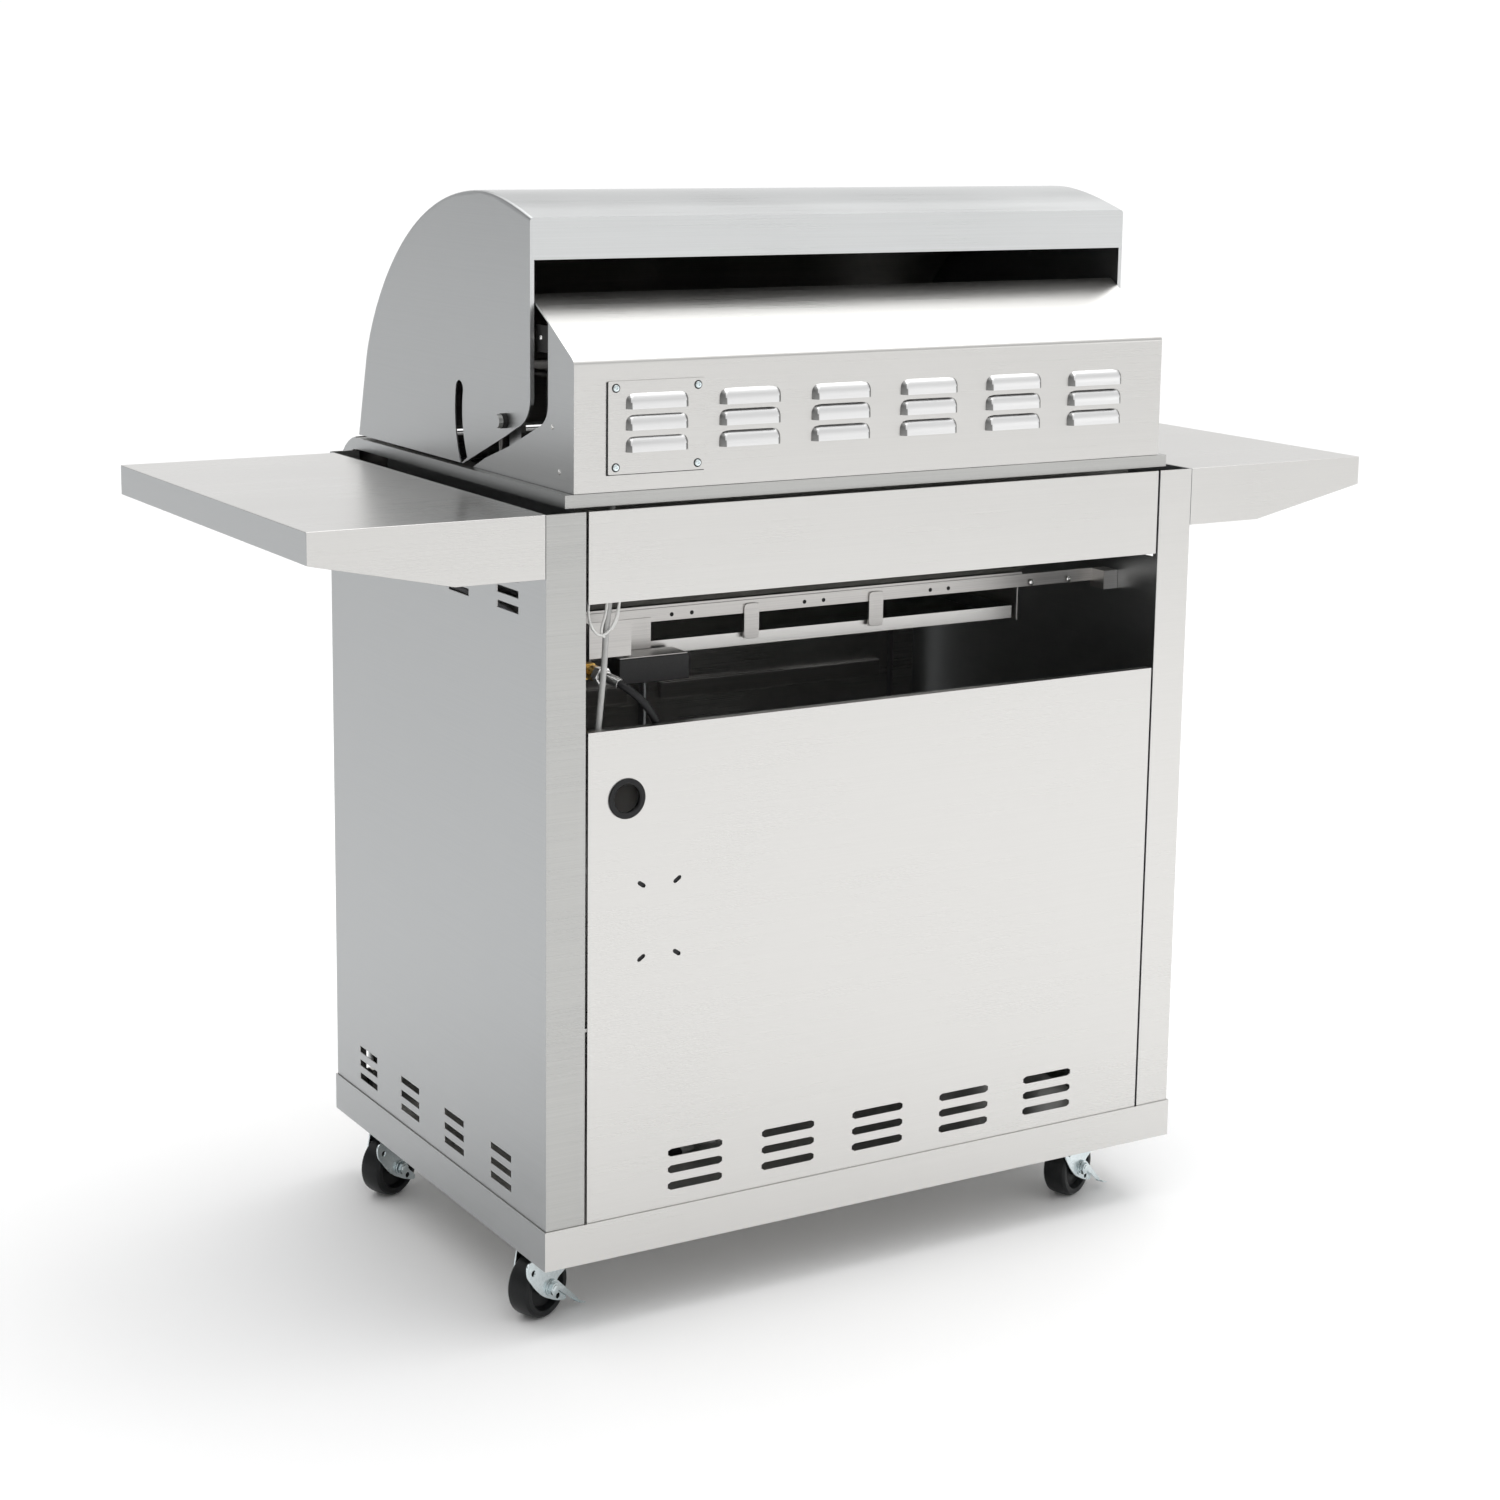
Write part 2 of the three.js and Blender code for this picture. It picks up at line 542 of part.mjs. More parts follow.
function buildHeadFrame() {
  const rear = TUB.throatRear + GAP;
  const inside = CABINET.halfWidth - SHEET - GAP;
  const parts = [
    box(-312, 312, rear, rear + 2.5, THROAT.bottom, THROAT.top),
    box(-inside, inside, rear + 1.5, rear + 4, 784, 800),
  ];
  for (const x of [-89, 89]) parts.push(box(x - 10, x + 10, rear + 2, rear + 5.5, 753.5, 795));
  for (const side of [-1, 1]) {
    parts.push(sideBox(side, 304.2, 306, -290, rear + 3, 742, 790));
    parts.push(sideBox(side, 288, 306, -290, 110, 742, 743.5));
    parts.push(sideBox(side, 304.2, inside, -262, -260, 778, 790));
    parts.push(sideBox(side, inside - 22, inside, rear + 2, rear + 30, 776, 800));
  }
  parts.push(box(288, 342, 203, 204.5, 762, 804));
  parts.push(box(340.5, 342, rear + 3, 204, 778, 802));
  parts.push(box(226, 256, rear + 2, rear + 5, 722, 790));
  addMesh('head_frame', join(...parts), ZINC);
}

function buildDripTray() {
  const { halfWidth, front, rear, bottom, top } = TRAY;
  const face = -CABINET.halfDepth;
  const pan = cut(
    box(-halfWidth, halfWidth, front, rear, bottom, top),
    box(-halfWidth + 1.2, halfWidth - 1.2, front + 1.2, rear - 1.2, bottom + 1.2, top + 1),
  );
  const fascia = box(-304.4, 304.4, face, face + 1.5, DECK.bottom + SHEET + 0.8, DECK.top - 1);
  const tongue = box(-halfWidth, halfWidth, face, front + 1.5, bottom, bottom + 1.5);
  const pull = join(
    box(-150, 150, face - 22, face + 1, 786, 788),
    box(-150, 150, face - 22, face - 20, 774, 788),
  );
  addMesh('drip_tray', join(pan, fascia, tongue, pull), STEEL);
}

function buildKnob(index) {
  const x = KNOB_X[index];
  const { radius, front, back, stem, z } = KNOB;
  const body = bar('Y', front, back, x, z, radius, 20);
  const grip = join(
    box(x - 6, x + 6, front - 1, front + 12, z - radius - 1, z + radius + 1),
    bar('Y', front + 12, back + 1, x, z, radius + 2, 20),
  );
  const socket = bar('Y', back - 9, back + 1, x, z, stem + GAP + 0.2, 10);
  const shaft = bar('Y', back - 8.5, VALVE_SOCKET_END - 6, x, z, stem, 10);
  addMesh(`knob_${index + 1}`, cut(body.intersect(grip), socket), POLISHED);
  addMesh(`knob_stem_${index + 1}`, shaft, BRASS);
}

function buildLightButton() {
  const cap = bar('Y', BUTTON.front, PANEL.face + 10, BUTTON.x, KNOB.z, BUTTON.radius, 12);
  addMesh('light_button', cap, PLASTIC);
}

// ---- Hood ---------------------------------------------------------------------------------------
// From the front bottom edge over the crown to the rear top edge, as (y, z).
function hoodCrown() {
  const front = new THREE.CubicBezierCurve(v2(-268, 1063), v2(-250.7, 1128.3), v2(-151, 1284), v2(64.5, 1284));
  const back = new THREE.QuadraticBezierCurve(v2(64.5, 1284), v2(111, 1284), v2(HOOD.rear, 1258.8));
  return [[-292.6, HOOD.bottom], ...curvePoints(front, 10), ...curvePoints(back, 4, true)];
}

function hoodOutline() {
  const heel = new THREE.QuadraticBezierCurve(v2(HOOD.rear, 1062), v2(HOOD.rear, 1034), v2(156, 1023.5));
  return [...hoodCrown(), ...curvePoints(heel, 4), [127, 1011], [62, 986], [16, HOOD.bottom]];
}

function spitSlot() {
  const { radius, width, from, to } = SPIT_SLOT;
  const place = (angle, r) => {
    const a = angle * Math.PI / 180;
    return [PIVOT.y + r * Math.cos(a), PIVOT.z + r * Math.sin(a)];
  };
  const steps = 5;
  const outline = [];
  for (let i = 0; i <= steps; i += 1) outline.push(place(from + (to - from) * i / steps, radius + width / 2));
  for (let i = steps; i >= 0; i -= 1) outline.push(place(from + (to - from) * i / steps, radius - width / 2));
  return outline;
}

function buildHoodShell() {
  const { halfWidth, sheet, rear, bandBottom } = HOOD;
  const outline = hoodOutline();
  const inner = offset(hoodCrown(), sheet);
  const room = [[-292.6 + sheet, HOOD.bottom - 20], ...inner, [rear - sheet, HOOD.bottom - 20]];
  const shell = cut(
    prism('X', outline, -halfWidth, halfWidth),
    prism('X', room, -halfWidth + sheet, halfWidth - sheet),
    box(-404.5, 404.5, rear - 20, rear + 10, HOOD.bottom - 10, bandBottom),
    prism('X', spitSlot(), -420, 420),
    bar('X', -420, 420, PIVOT.y, PIVOT.z, PIVOT.radius + 0.5, 12),
    thermometerBar(-40, 20, 5),
  );
  addMesh('hood_shell', shell, HOOD_STEEL);
}

// A round bar along the normal of the hood's front at the thermometer.
const GAUGE = { y: -251.5, z: 1107.5, tilt: Math.atan2(33, 73) };
function thermometerBar(from, to, radius, sides = 12) {
  const body = bar('Y', -to, -from, 0, 0, radius, sides);
  const degrees = -GAUGE.tilt * 180 / Math.PI;
  return body.rotate([degrees, 0, 0]).translate([0, GAUGE.y, GAUGE.z]);
}

function buildThermometer() {
  const bezel = thermometerBar(1.5, 12, 36, 24);
  const stem = thermometerBar(-58, 2, 3.5, 8);
  const nut = thermometerBar(-40, -34, 11, 6);
  addMesh('hood_thermometer', join(bezel, stem, nut), POLISHED);
}

function buildHoodLiner() {
  const { halfWidth, offset: inset, sheet } = LINER;
  const crown = hoodCrown().slice(0, -1);
  const start = [[-292.6 + HOOD.sheet + 2.1, HOOD.bottom + 6], [-262, HOOD.bottom + 9]];
  const inner = offset(crown, inset).slice(1);
  const line = [...start, ...inner];
  const thick = [...line, ...offset(line, sheet).reverse()];
  const body = cut(prism('X', thick, -halfWidth, halfWidth), thermometerBar(-40, 20, 6));
  addMesh('hood_liner', body, STEEL);
}

function buildHoodHandle() {
  const { y, z, radius, halfWidth, post } = HOOD_HANDLE;
  const tube = bar('X', -halfWidth, halfWidth, y, z, radius, 16);
  const posts = [-1, 1].map((side) => sideBox(side, post - 9, post + 9, y, -268, z - 11, z + 11));
  const skin = prism('X', offset(hoodOutline(), -GAP, true), -400, 400);
  addMesh('hood_handle', cut(join(tube, ...posts), skin), POLISHED);
}

// ---- Casters ------------------------------------------------------------------------------------
function casterGroup(x, y) {
  const group = new THREE.Group();
  group.position.set(x, y, 0);
  group.rotation.z = CASTER.heading;
  grill.add(group);
  return group;
}

function buildCaster(name, x, y, withBrake) {
  const group = casterGroup(x, y);
  const { trail, radius, halfWidth, sides } = WHEEL;
  const cheek = [
    [-24, 97], [44, 97], [58, 83], [84, 78], [82, 60], [69, 44.5], [55, 31.5], [30, 18.5],
    [16, 13.5], [13, 17], [24, 30], [33, 43], [15, 51], [-10, 74], [-24, 90],
  ];
  const holes = [bar('Y', -21, 21, 72.5, 65, 3, 8), bar('Y', -21, 21, 29.5, 24, 3, 8)];
  const arms = [prism('Y', cheek, 17.8, 20), prism('Y', cheek, -20, -17.8)];
  const crown = box(-24, 44, -20, 20, 94.5, 97);
  const race = bar('Z', 96, FLOOR.bottom - GAP, 0, 0, 21, 16);
  const stem = bar('Z', 96, 109, 0, 0, 5.6, 10);
  const nut = bar('Z', FLOOR.top + GAP, 109.5, 0, 0, 9, 6);
  const axle = bar('Y', -26, 26, trail, radius, 4, 10);
  const heads = [bar('Y', 22.8, 27, trail, radius, 7.5, 6), bar('Y', -27, -20, trail, radius, 7.5, 6)];
  const cheeks = cut(join(...arms), ...holes);
  addMesh(`caster_fork_${name}`, join(cheeks, crown, race, stem, nut, axle, ...heads), ZINC, group);

  const grow = 1 / Math.cos(Math.PI / sides);
  const profile = [
    [4.3, -14], [27, -14], [30, -halfWidth], [36, -halfWidth], [radius * grow, -12],
    [radius * grow, 12], [36, halfWidth], [30, halfWidth], [27, 14], [4.3, 14], [4.3, -14],
  ].map(([r, y0]) => v2(r, y0));
  const lathe = new THREE.LatheGeometry(profile, sides);
  lathe.rotateY(Math.PI / sides);
  lathe.translate(trail, 0, radius);
  addMesh(`caster_wheel_${name}`, solid(lathe), RUBBER, group);

  if (withBrake) {
    const arm = [[46, 44], [40, 48], [34, 46], [-4, 10], [-3, 7], [0, 7], [36, 35], [44, 30], [50, 36]];
    const plate = cut(
      prism('Y', arm, 20 + GAP, 22.4),
      bar('Y', 19, 24, trail, radius, 4.3, 10),
    );
    const pedal = box(-7, 3, 20 + GAP, 33, 7, 9);
    addMesh(`caster_brake_${name}`, join(plate, pedal), ZINC, group);
  }
}

// ---- Gas supply and wiring ----------------------------------------------------------------------
function buildInlet() {
  const { x, z } = INLET;
  const elbow = join(
    bar('Y', 186, 234, x, z, 9, 8),
    bar('X', x - 4, x + 21 - GAP, 200, z, 9, 8),
  );
  const nut = bar('Y', 233, 250, x, z, 11, 6);
  addMesh('gas_inlet', join(elbow, nut), BRASS);
}

const HOSE_ROUTE = [
  [345, 250.5, 750], [344, 262, 749.5], [339, 274, 746], [329, 281.5, 738], [316, 283, 726],
  [303, 282.5, 709], [293, 282, 688], [286, 281, 662], [281, 277, 632], [278, 266, 596],
  [276, 249, 556], [274, 232, 512], [271, 219, 462], [268, 209, 405], [264, 200, 345],
  [260, 191, 285], [256, 181, 232], [250, 169, 187], [240, 154, 152], [224, 137, 127],
  [205, 121, 113.5], [185, 110, 109], [173, 106, 108.6], [161.8, 105, 108.6],
];
function buildHose() {
  addMesh('gas_hose', hose(HOSE_ROUTE, 4.5, 8, 40), RUBBER);
}

function buildRegulator() {
  const dish = bar('Z', FLOOR.top + GAP, 127, 118, 92, 28, 16);
  const cap = bar('Z', 126, 134, 118, 92, 14, 12);
  const inletArm = bar('X', 62, 110, 92, 115, 7, 10);
  const wheel = bar('X', 44, 68, 92, 115.2, 11.5, 12);
  const tail = prism('Z', [[140, 94], [161.2, 101], [161.2, 109], [136, 106]], 103.6, 113.4);
  addMesh('gas_regulator', join(dish, cap, inletArm, wheel, tail), ZINC);
}

const CABLE_ROUTE = [
  [350, 272, 962], [350, 274, 930], [352, 276, 890], [355, 277, 845], [359, 277, 810],
  [362, 277, 765], [367, 277, 715], [371, 277, 670], [370, 277, 630], [364, 276.5, 595],
  [353, 276, 568], [342, 276, 552], [336, 276, 539], [335.3, 276, 528],
];
function buildCable() {
  addMesh('light_cable', hose(CABLE_ROUTE, 3.5, 8, 28), GREY_PLASTIC);
}

const WIRE_ROUTE = [
  [382, 283, 868], [383, 283, 850], [384.5, 283, 833], [381, 283, 817], [374, 283, 808],
  [366, 283, 806], [357, 283, 812], [350, 283, 824], [346.5, 283, 838], [344, 283, 853], [343, 283, 868],
];
function buildIgniterWire() {
  addMesh('igniter_wire', hose(WIRE_ROUTE, 1.5, 8, 20), GREY_PLASTIC);
}

function buildTransformer() {
  const shell = box(265, 342, 256, 298.5 - GAP, 428, 527.5);
  addMesh('light_transformer', shell, PLASTIC);
}

function buildIgniterModule() {
  addMesh('igniter_module', box(197, 290, 139.4, 180, 722, 752), GREY_PLASTIC);
}

// ---- Assembly -----------------------------------------------------------------------------------
buildBasePan();
buildSidePanel('side_panel_left', -1);
buildSidePanel('side_panel_right', 1);
buildRearPanel();
buildRearApron();
buildGrommet();
buildSideShelf('side_shelf_left', -1);
buildSideShelf('side_shelf_right', 1);
buildFrontDeck();
buildFirebox();
buildControlPanel();
buildHousing();
buildCoverPlate();
BURNER_X.forEach((x, i) => buildBurner(`burner_${i + 1}`, x));
buildGrate('cooking_grate_left', -1);
buildGrate('cooking_grate_right', 1);
buildWarmingRack();
buildRearBurner();
buildManifold();
buildHeadFrame();
buildDripTray();
KNOB_X.forEach((x, i) => buildKnob(i));
buildLightButton();
buildHoodShell();
buildHoodLiner();
buildHoodHandle();
buildThermometer();
buildDoor('door_left', -1);
buildDoor('door_right', 1);
buildDoorHandle('door_handle_left', -1);
buildDoorHandle('door_handle_right', 1);
buildCaster('rear_right', CASTER.x, CASTER.y, true);
buildCaster('rear_left', -CASTER.x, CASTER.y, true);
buildCaster('front_right', CASTER.x, -CASTER.y, false);
buildCaster('front_left', -CASTER.x, -CASTER.y, false);
buildInlet();
buildHose();
buildRegulator();
buildCable();
buildIgniterWire();
buildTransformer();
buildIgniterModule();

// The origin stands on the floor under the middle of the whole object.
grill.position.y = -(FRONT_MOST + REAR_MOST) / 2;

export default grill;
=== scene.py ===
# The visual model of a stainless gas barbecue on a wheeled cabinet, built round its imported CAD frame.
# Shapes are given in millimetres from the cabinet's middle, as in the CAD source.
# Y_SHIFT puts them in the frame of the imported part.
import math

import bpy
import bmesh
from mathutils import Matrix, Vector


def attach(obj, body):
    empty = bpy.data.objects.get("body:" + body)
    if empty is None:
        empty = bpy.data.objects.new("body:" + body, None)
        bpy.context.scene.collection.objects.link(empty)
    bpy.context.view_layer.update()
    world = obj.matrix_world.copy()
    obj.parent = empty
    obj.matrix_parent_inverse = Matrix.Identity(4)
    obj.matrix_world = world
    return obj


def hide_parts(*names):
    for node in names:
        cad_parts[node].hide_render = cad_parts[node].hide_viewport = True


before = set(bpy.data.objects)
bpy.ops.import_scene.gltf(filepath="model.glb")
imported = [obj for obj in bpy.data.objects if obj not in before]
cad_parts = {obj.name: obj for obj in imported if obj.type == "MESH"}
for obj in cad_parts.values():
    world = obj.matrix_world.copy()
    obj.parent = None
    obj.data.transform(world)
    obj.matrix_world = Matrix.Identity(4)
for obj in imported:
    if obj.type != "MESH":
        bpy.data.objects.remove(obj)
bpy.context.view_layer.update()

MM = 0.001
Y_SHIFT = 38
SHEET = 1.5
RIM_TOP = 964.3
HOUSING = {"half": 403.3, "rear": 284, "corner": 1109, "ridge": (178, 1174.6), "cheek": 222}
HOOD = {"half": 409.6, "bottom": 967.5, "rear": 190.7, "band": 1212.5}
PIVOT = (128, 1029)
KNOB_X = [-276, -92, 92, 276, 368]
KNOB_Z = 852
BURNER_X = [-276, -92, 92, 276]
LOUVRE_ROWS = [1064, 1040.5, 1016.5]
LOUVRE_COLUMNS = [60.5, 181.5, 301.5]
COVER = {"x": 301.4, "z": 1034.8, "half_x": 61, "half_z": 51.3}
WHEEL = {"radius": 38, "half": 16, "trail": 41.6}
CASTER_X, CASTER_Y, HEADING = 382, 212, math.radians(24)
CABLE_HOLE = (344.5, 621.7)
INLET = (345, 750)
REGULATOR_PLACE = (118, 92)
VALVE_AXIS = (92, 115.2)
SPIT = {"radius": 123.5, "half_width": 10, "start": 168.5, "sweep": 39.5, "steps": 14}
PANEL_FACE = -338


def at(x, y, z):
    return Vector((x, y + Y_SHIFT, z)) * MM


# ---- Camera ----
CAMERA = {
    "target": at(8.14, 0, 770.6), "distance": 3.55505, "azimuth": 149.038, "elevation": 10.195,
    "roll": 0.757, "lens": 68.13, "sensor": 36.0, "shift_y": -0.1,
}


def add_camera():
    azimuth, elevation, roll = (math.radians(CAMERA[k]) for k in ("azimuth", "elevation", "roll"))
    back = Vector((
        math.sin(azimuth) * math.cos(elevation),
        -math.cos(azimuth) * math.cos(elevation),
        math.sin(elevation),
    ))
    right = (-back).cross(Vector((0, 0, 1))).normalized()
    up = right.cross(-back)
    tilted_right = right * math.cos(roll) + up * math.sin(roll)
    tilted_up = up * math.cos(roll) - right * math.sin(roll)
    data = bpy.data.cameras.new("camera")
    data.sensor_width = CAMERA["sensor"]
    data.lens = CAMERA["lens"]
    data.shift_y = CAMERA["shift_y"]
    data.clip_end = 60
    camera = bpy.data.objects.new("camera", data)
    turn = Matrix((tilted_right, tilted_up, back)).transposed().to_4x4()
    camera.matrix_world = Matrix.Translation(CAMERA["target"] + back * CAMERA["distance"]) @ turn
    bpy.context.scene.collection.objects.link(camera)
    bpy.context.scene.camera = camera


add_camera()


# ---- Materials ----
def new_material(name, colour, metallic, roughness, **sockets):
    material = bpy.data.materials.new(name)
    material.use_nodes = True
    tree = material.node_tree
    shader = tree.nodes["Principled BSDF"]
    shader.inputs["Base Color"].default_value = (*colour, 1)
    shader.inputs["Metallic"].default_value = metallic
    shader.inputs["Roughness"].default_value = roughness
    for key, value in sockets.items():
        shader.inputs[key.replace("_", " ")].default_value = value
    return material, tree, shader


def node(tree, kind, links=(), **values):
    made = tree.nodes.new(kind)
    for key, value in values.items():
        setattr(made, key, value)
    for socket, source in links:
        if hasattr(source, "is_output"):
            tree.links.new(source, made.inputs[socket])
        else:
            made.inputs[socket].default_value = source
    return made


def map_range(tree, source, low, high, start=0.3, stop=0.7):
    ends = [(0, source), (1, start), (2, stop), (3, low), (4, high)]
    return node(tree, "ShaderNodeMapRange", ends).outputs[0]


def mix_colour(tree, factor, a, b):
    made = node(tree, "ShaderNodeMix", [(0, factor), (6, (*a, 1)), (7, (*b, 1))], data_type="RGBA")
    return made.outputs[2]


def noise(tree, vector, scale, detail):
    links = [("Vector", vector), ("Scale", scale), ("Detail", detail)]
    return node(tree, "ShaderNodeTexNoise", links).outputs[0]


def grain_vector(tree, along, across, vertical=False):
    """Object coordinates stretched along the brushing: along X, or along Y on faces that look sideways."""
    place = node(tree, "ShaderNodeTexCoord").outputs["Object"]
    normal = node(tree, "ShaderNodeNewGeometry").outputs["Normal"]
    size = node(tree, "ShaderNodeVectorMath", [(0, normal)], operation="ABSOLUTE").outputs[0]
    sideways = node(tree, "ShaderNodeSeparateXYZ", [(0, size)]).outputs[0]
    is_end = node(tree, "ShaderNodeMath", [(0, sideways), (1, 0.7)], operation="GREATER_THAN").outputs[0]
    if vertical:
        usual = end = (across, across, along)
    else:
        usual, end = (along, across, across), (across, along, across)
    scale = node(tree, "ShaderNodeMix", [(0, is_end), (4, usual), (5, end)], data_type="VECTOR").outputs[1]
    vector = node(tree, "ShaderNodeVectorMath", [(0, place), (1, scale)], operation="MULTIPLY").outputs[0]
    across_end, across_usual = ((0, 0, 1), (0, 0, 1)) if vertical else ((0, 1, 0), (1, 0, 0))
    choices = [(0, is_end), (4, across_usual), (5, across_end)]
    tangent = node(tree, "ShaderNodeMix", choices, data_type="VECTOR")
    return vector, tangent.outputs[1]


def brushed(name, light, dark, roughness, vertical=False, bump=0.12, anisotropy=0.55, spread=0.07):
    """Brushed stainless: fine scratches along one direction, with broad faint bands of tone."""
    material, tree, shader = new_material(name, light, 1.0, roughness, Anisotropic=anisotropy)
    vector, tangent = grain_vector(tree, 5, 1200, vertical)
    fine = noise(tree, vector, 1.0, 3.0)
    broad_vector, _ = grain_vector(tree, 0.8, 26, vertical)
    broad = noise(tree, broad_vector, 1.0, 4.0)
    place = node(tree, "ShaderNodeTexCoord").outputs["Object"]
    cloud = noise(tree, place, 5.0, 2.0)
    both = node(tree, "ShaderNodeMix", [(0, 0.3), (2, fine), (3, broad)]).outputs[0]
    tone = node(tree, "ShaderNodeMix", [(0, 0.3), (2, both), (3, cloud)]).outputs[0]
    colour = mix_colour(tree, map_range(tree, tone, 0, 1), dark, light)
    tree.links.new(colour, shader.inputs["Base Color"])
    rough = map_range(tree, tone, roughness - spread / 2, roughness + spread)
    tree.links.new(rough, shader.inputs["Roughness"])
    raised = node(tree, "ShaderNodeBump", [("Strength", bump), ("Distance", 0.0002), ("Height", fine)])
    tree.links.new(raised.outputs[0], shader.inputs["Normal"])
    tree.links.new(tangent, shader.inputs["Tangent"])
    return material


def grained(
    name, light, dark, metallic, roughness, scale=300, bump=0.2, depth=0.0002, spread=0.12, **sockets,
):
    """A moulded, cast or plated surface: fine pores, and larger soft patches of colour and gloss."""
    material, tree, shader = new_material(name, light, metallic, roughness, **sockets)
    place = node(tree, "ShaderNodeTexCoord").outputs["Object"]
    pores = noise(tree, place, scale, 3.0)
    patches = noise(tree, place, scale / 12, 3.0)
    mixed = node(tree, "ShaderNodeMix", [(0, 0.5), (2, pores), (3, patches)]).outputs[0]
    tree.links.new(mix_colour(tree, map_range(tree, mixed, 0, 1), dark, light), shader.inputs["Base Color"])
    rough = map_range(tree, patches, roughness - spread / 2, roughness + spread / 2)
    tree.links.new(rough, shader.inputs["Roughness"])
    raised = node(tree, "ShaderNodeBump", [("Strength", bump), ("Distance", depth), ("Height", pores)])
    tree.links.new(raised.outputs[0], shader.inputs["Normal"])
    return material


STEEL = brushed("brushed_steel", (0.65, 0.642, 0.625), (0.61, 0.602, 0.586), 0.28)
# A darker copy of the brushed steel for the firebox under the hood and the right side panel: painted shade.
SHADED_RIM_STEEL = brushed("rim_steel_painted_shade", (0.50, 0.50, 0.485), (0.42, 0.42, 0.41), 0.28)
# A darker copy of the brushed steel for faces that look sideways: painted shade.
SHADED_SIDE_STEEL = brushed("side_steel_painted_shade", (0.44, 0.45, 0.455), (0.385, 0.395, 0.40), 0.32)
HOOD_STEEL = brushed("hood_steel", (0.66, 0.67, 0.67), (0.59, 0.60, 0.60), 0.29)
# A dark copy of the steel for the louvres' slanted ends: painted shade.
SHADED_END_STEEL = brushed("louvre_end_painted_shade", (0.30, 0.30, 0.295), (0.24, 0.24, 0.235), 0.34)
LOUVRE_STEEL = brushed("pressed_steel", (0.80, 0.80, 0.80), (0.74, 0.74, 0.74), 0.33, anisotropy=0.2)
INNER_STEEL = brushed("mill_steel", (0.60, 0.585, 0.565), (0.42, 0.41, 0.40), 0.34, bump=0.2)
PIPE_STEEL = grained("pipe_steel", (0.30, 0.30, 0.31), (0.18, 0.18, 0.19), 0.9, 0.42, scale=220)
POLISHED = grained(
    "polished_steel", (0.86, 0.86, 0.85), (0.80, 0.80, 0.79), 1.0, 0.14, scale=120, bump=0.03, spread=0.08,
)
ZINC = grained("zinc_plate", (0.88, 0.95, 0.97), (0.62, 0.70, 0.72), 1.0, 0.24, scale=260, bump=0.2)
CAST_ZINC = grained("zinc_casting", (0.58, 0.58, 0.57), (0.46, 0.46, 0.45), 0.9, 0.5, scale=420, bump=0.35)
IRON = grained("grate_iron", (0.055, 0.055, 0.056), (0.025, 0.025, 0.026), 0.35, 0.55, scale=500, bump=0.5)
BRASS = grained("brass", (0.86, 0.56, 0.16), (0.70, 0.42, 0.10), 1.0, 0.24, scale=160, bump=0.08)
RUBBER = grained(
    "black_rubber", (0.010, 0.010, 0.011), (0.005, 0.005, 0.006), 0.0, 0.4, scale=420, bump=0.2,
    Specular_IOR_Level=0.3,
)
WHEEL_RUBBER = grained(
    "wheel_rubber", (0.010, 0.011, 0.012), (0.005, 0.006, 0.006), 0.0, 0.34, scale=300, bump=0.15,
    Specular_IOR_Level=0.25,
)
BLACK_PLASTIC = grained(
    "black_plastic", (0.016, 0.016, 0.018), (0.009, 0.009, 0.010), 0.0, 0.42, scale=700, bump=0.3,
    Specular_IOR_Level=0.35,
)
GREY_PLASTIC = grained(
    "grey_plastic", (0.035, 0.035, 0.036), (0.020, 0.020, 0.021), 0.0, 0.45, scale=600, bump=0.25,
    Specular_IOR_Level=0.4,
)
CABLE_GREY = grained("cable_sheath", (0.50, 0.50, 0.49), (0.42, 0.42, 0.41), 0.0, 0.45, scale=260, bump=0.1)
WIRE_WHITE = grained("wire_sheath", (0.78, 0.78, 0.76), (0.68, 0.68, 0.66), 0.0, 0.4, scale=260, bump=0.1)
# Near-black for holes, gaps and recesses where there is only shade: painted shade.
PAINTED_SHADE = grained("painted_shade_black", (0.012, 0.012, 0.012), (0.006, 0.006, 0.006), 0.0, 0.7, scale=300)
CERAMIC = grained(
    "burner_ceramic", (0.62, 0.55, 0.46), (0.42, 0.36, 0.29), 0.0, 0.85, scale=240, bump=0.8, depth=0.001,
)
DIAL_WHITE = grained("dial_enamel", (0.88, 0.88, 0.86), (0.82, 0.82, 0.80), 0.0, 0.25, scale=90, bump=0.02)
MARK_RED = grained("dial_mark", (0.55, 0.03, 0.02), (0.42, 0.02, 0.015), 0.0, 0.4, scale=200, bump=0.05)


# ---- Shapes ----
def smooth_group():
    """Geometry nodes that shade faces smooth except across edges of more than 30 degrees."""
    group = bpy.data.node_groups.new("smooth_by_angle", "GeometryNodeTree")
    group.interface.new_socket("Geometry", in_out="INPUT", socket_type="NodeSocketGeometry")
    group.interface.new_socket("Geometry", in_out="OUTPUT", socket_type="NodeSocketGeometry")
    start, end = group.nodes.new("NodeGroupInput"), group.nodes.new("NodeGroupOutput")
    faces, edges = (group.nodes.new("GeometryNodeSetShadeSmooth") for _ in range(2))
    faces.domain, edges.domain = "FACE", "EDGE"
    faces.inputs["Shade Smooth"].default_value = True
    edges.inputs["Shade Smooth"].default_value = False
    angle = group.nodes.new("GeometryNodeInputMeshEdgeAngle")
    sharp = group.nodes.new("FunctionNodeCompare")
    sharp.data_type, sharp.operation = "FLOAT", "GREATER_THAN"
    sharp.inputs[1].default_value = math.radians(30)
    group.links.new(angle.outputs[0], sharp.inputs[0])
    group.links.new(start.outputs[0], faces.inputs["Geometry"])
    group.links.new(faces.outputs[0], edges.inputs["Geometry"])
    group.links.new(sharp.outputs[0], edges.inputs["Selection"])
    group.links.new(edges.outputs[0], end.inputs[0])
    return group


SMOOTH = smooth_group()


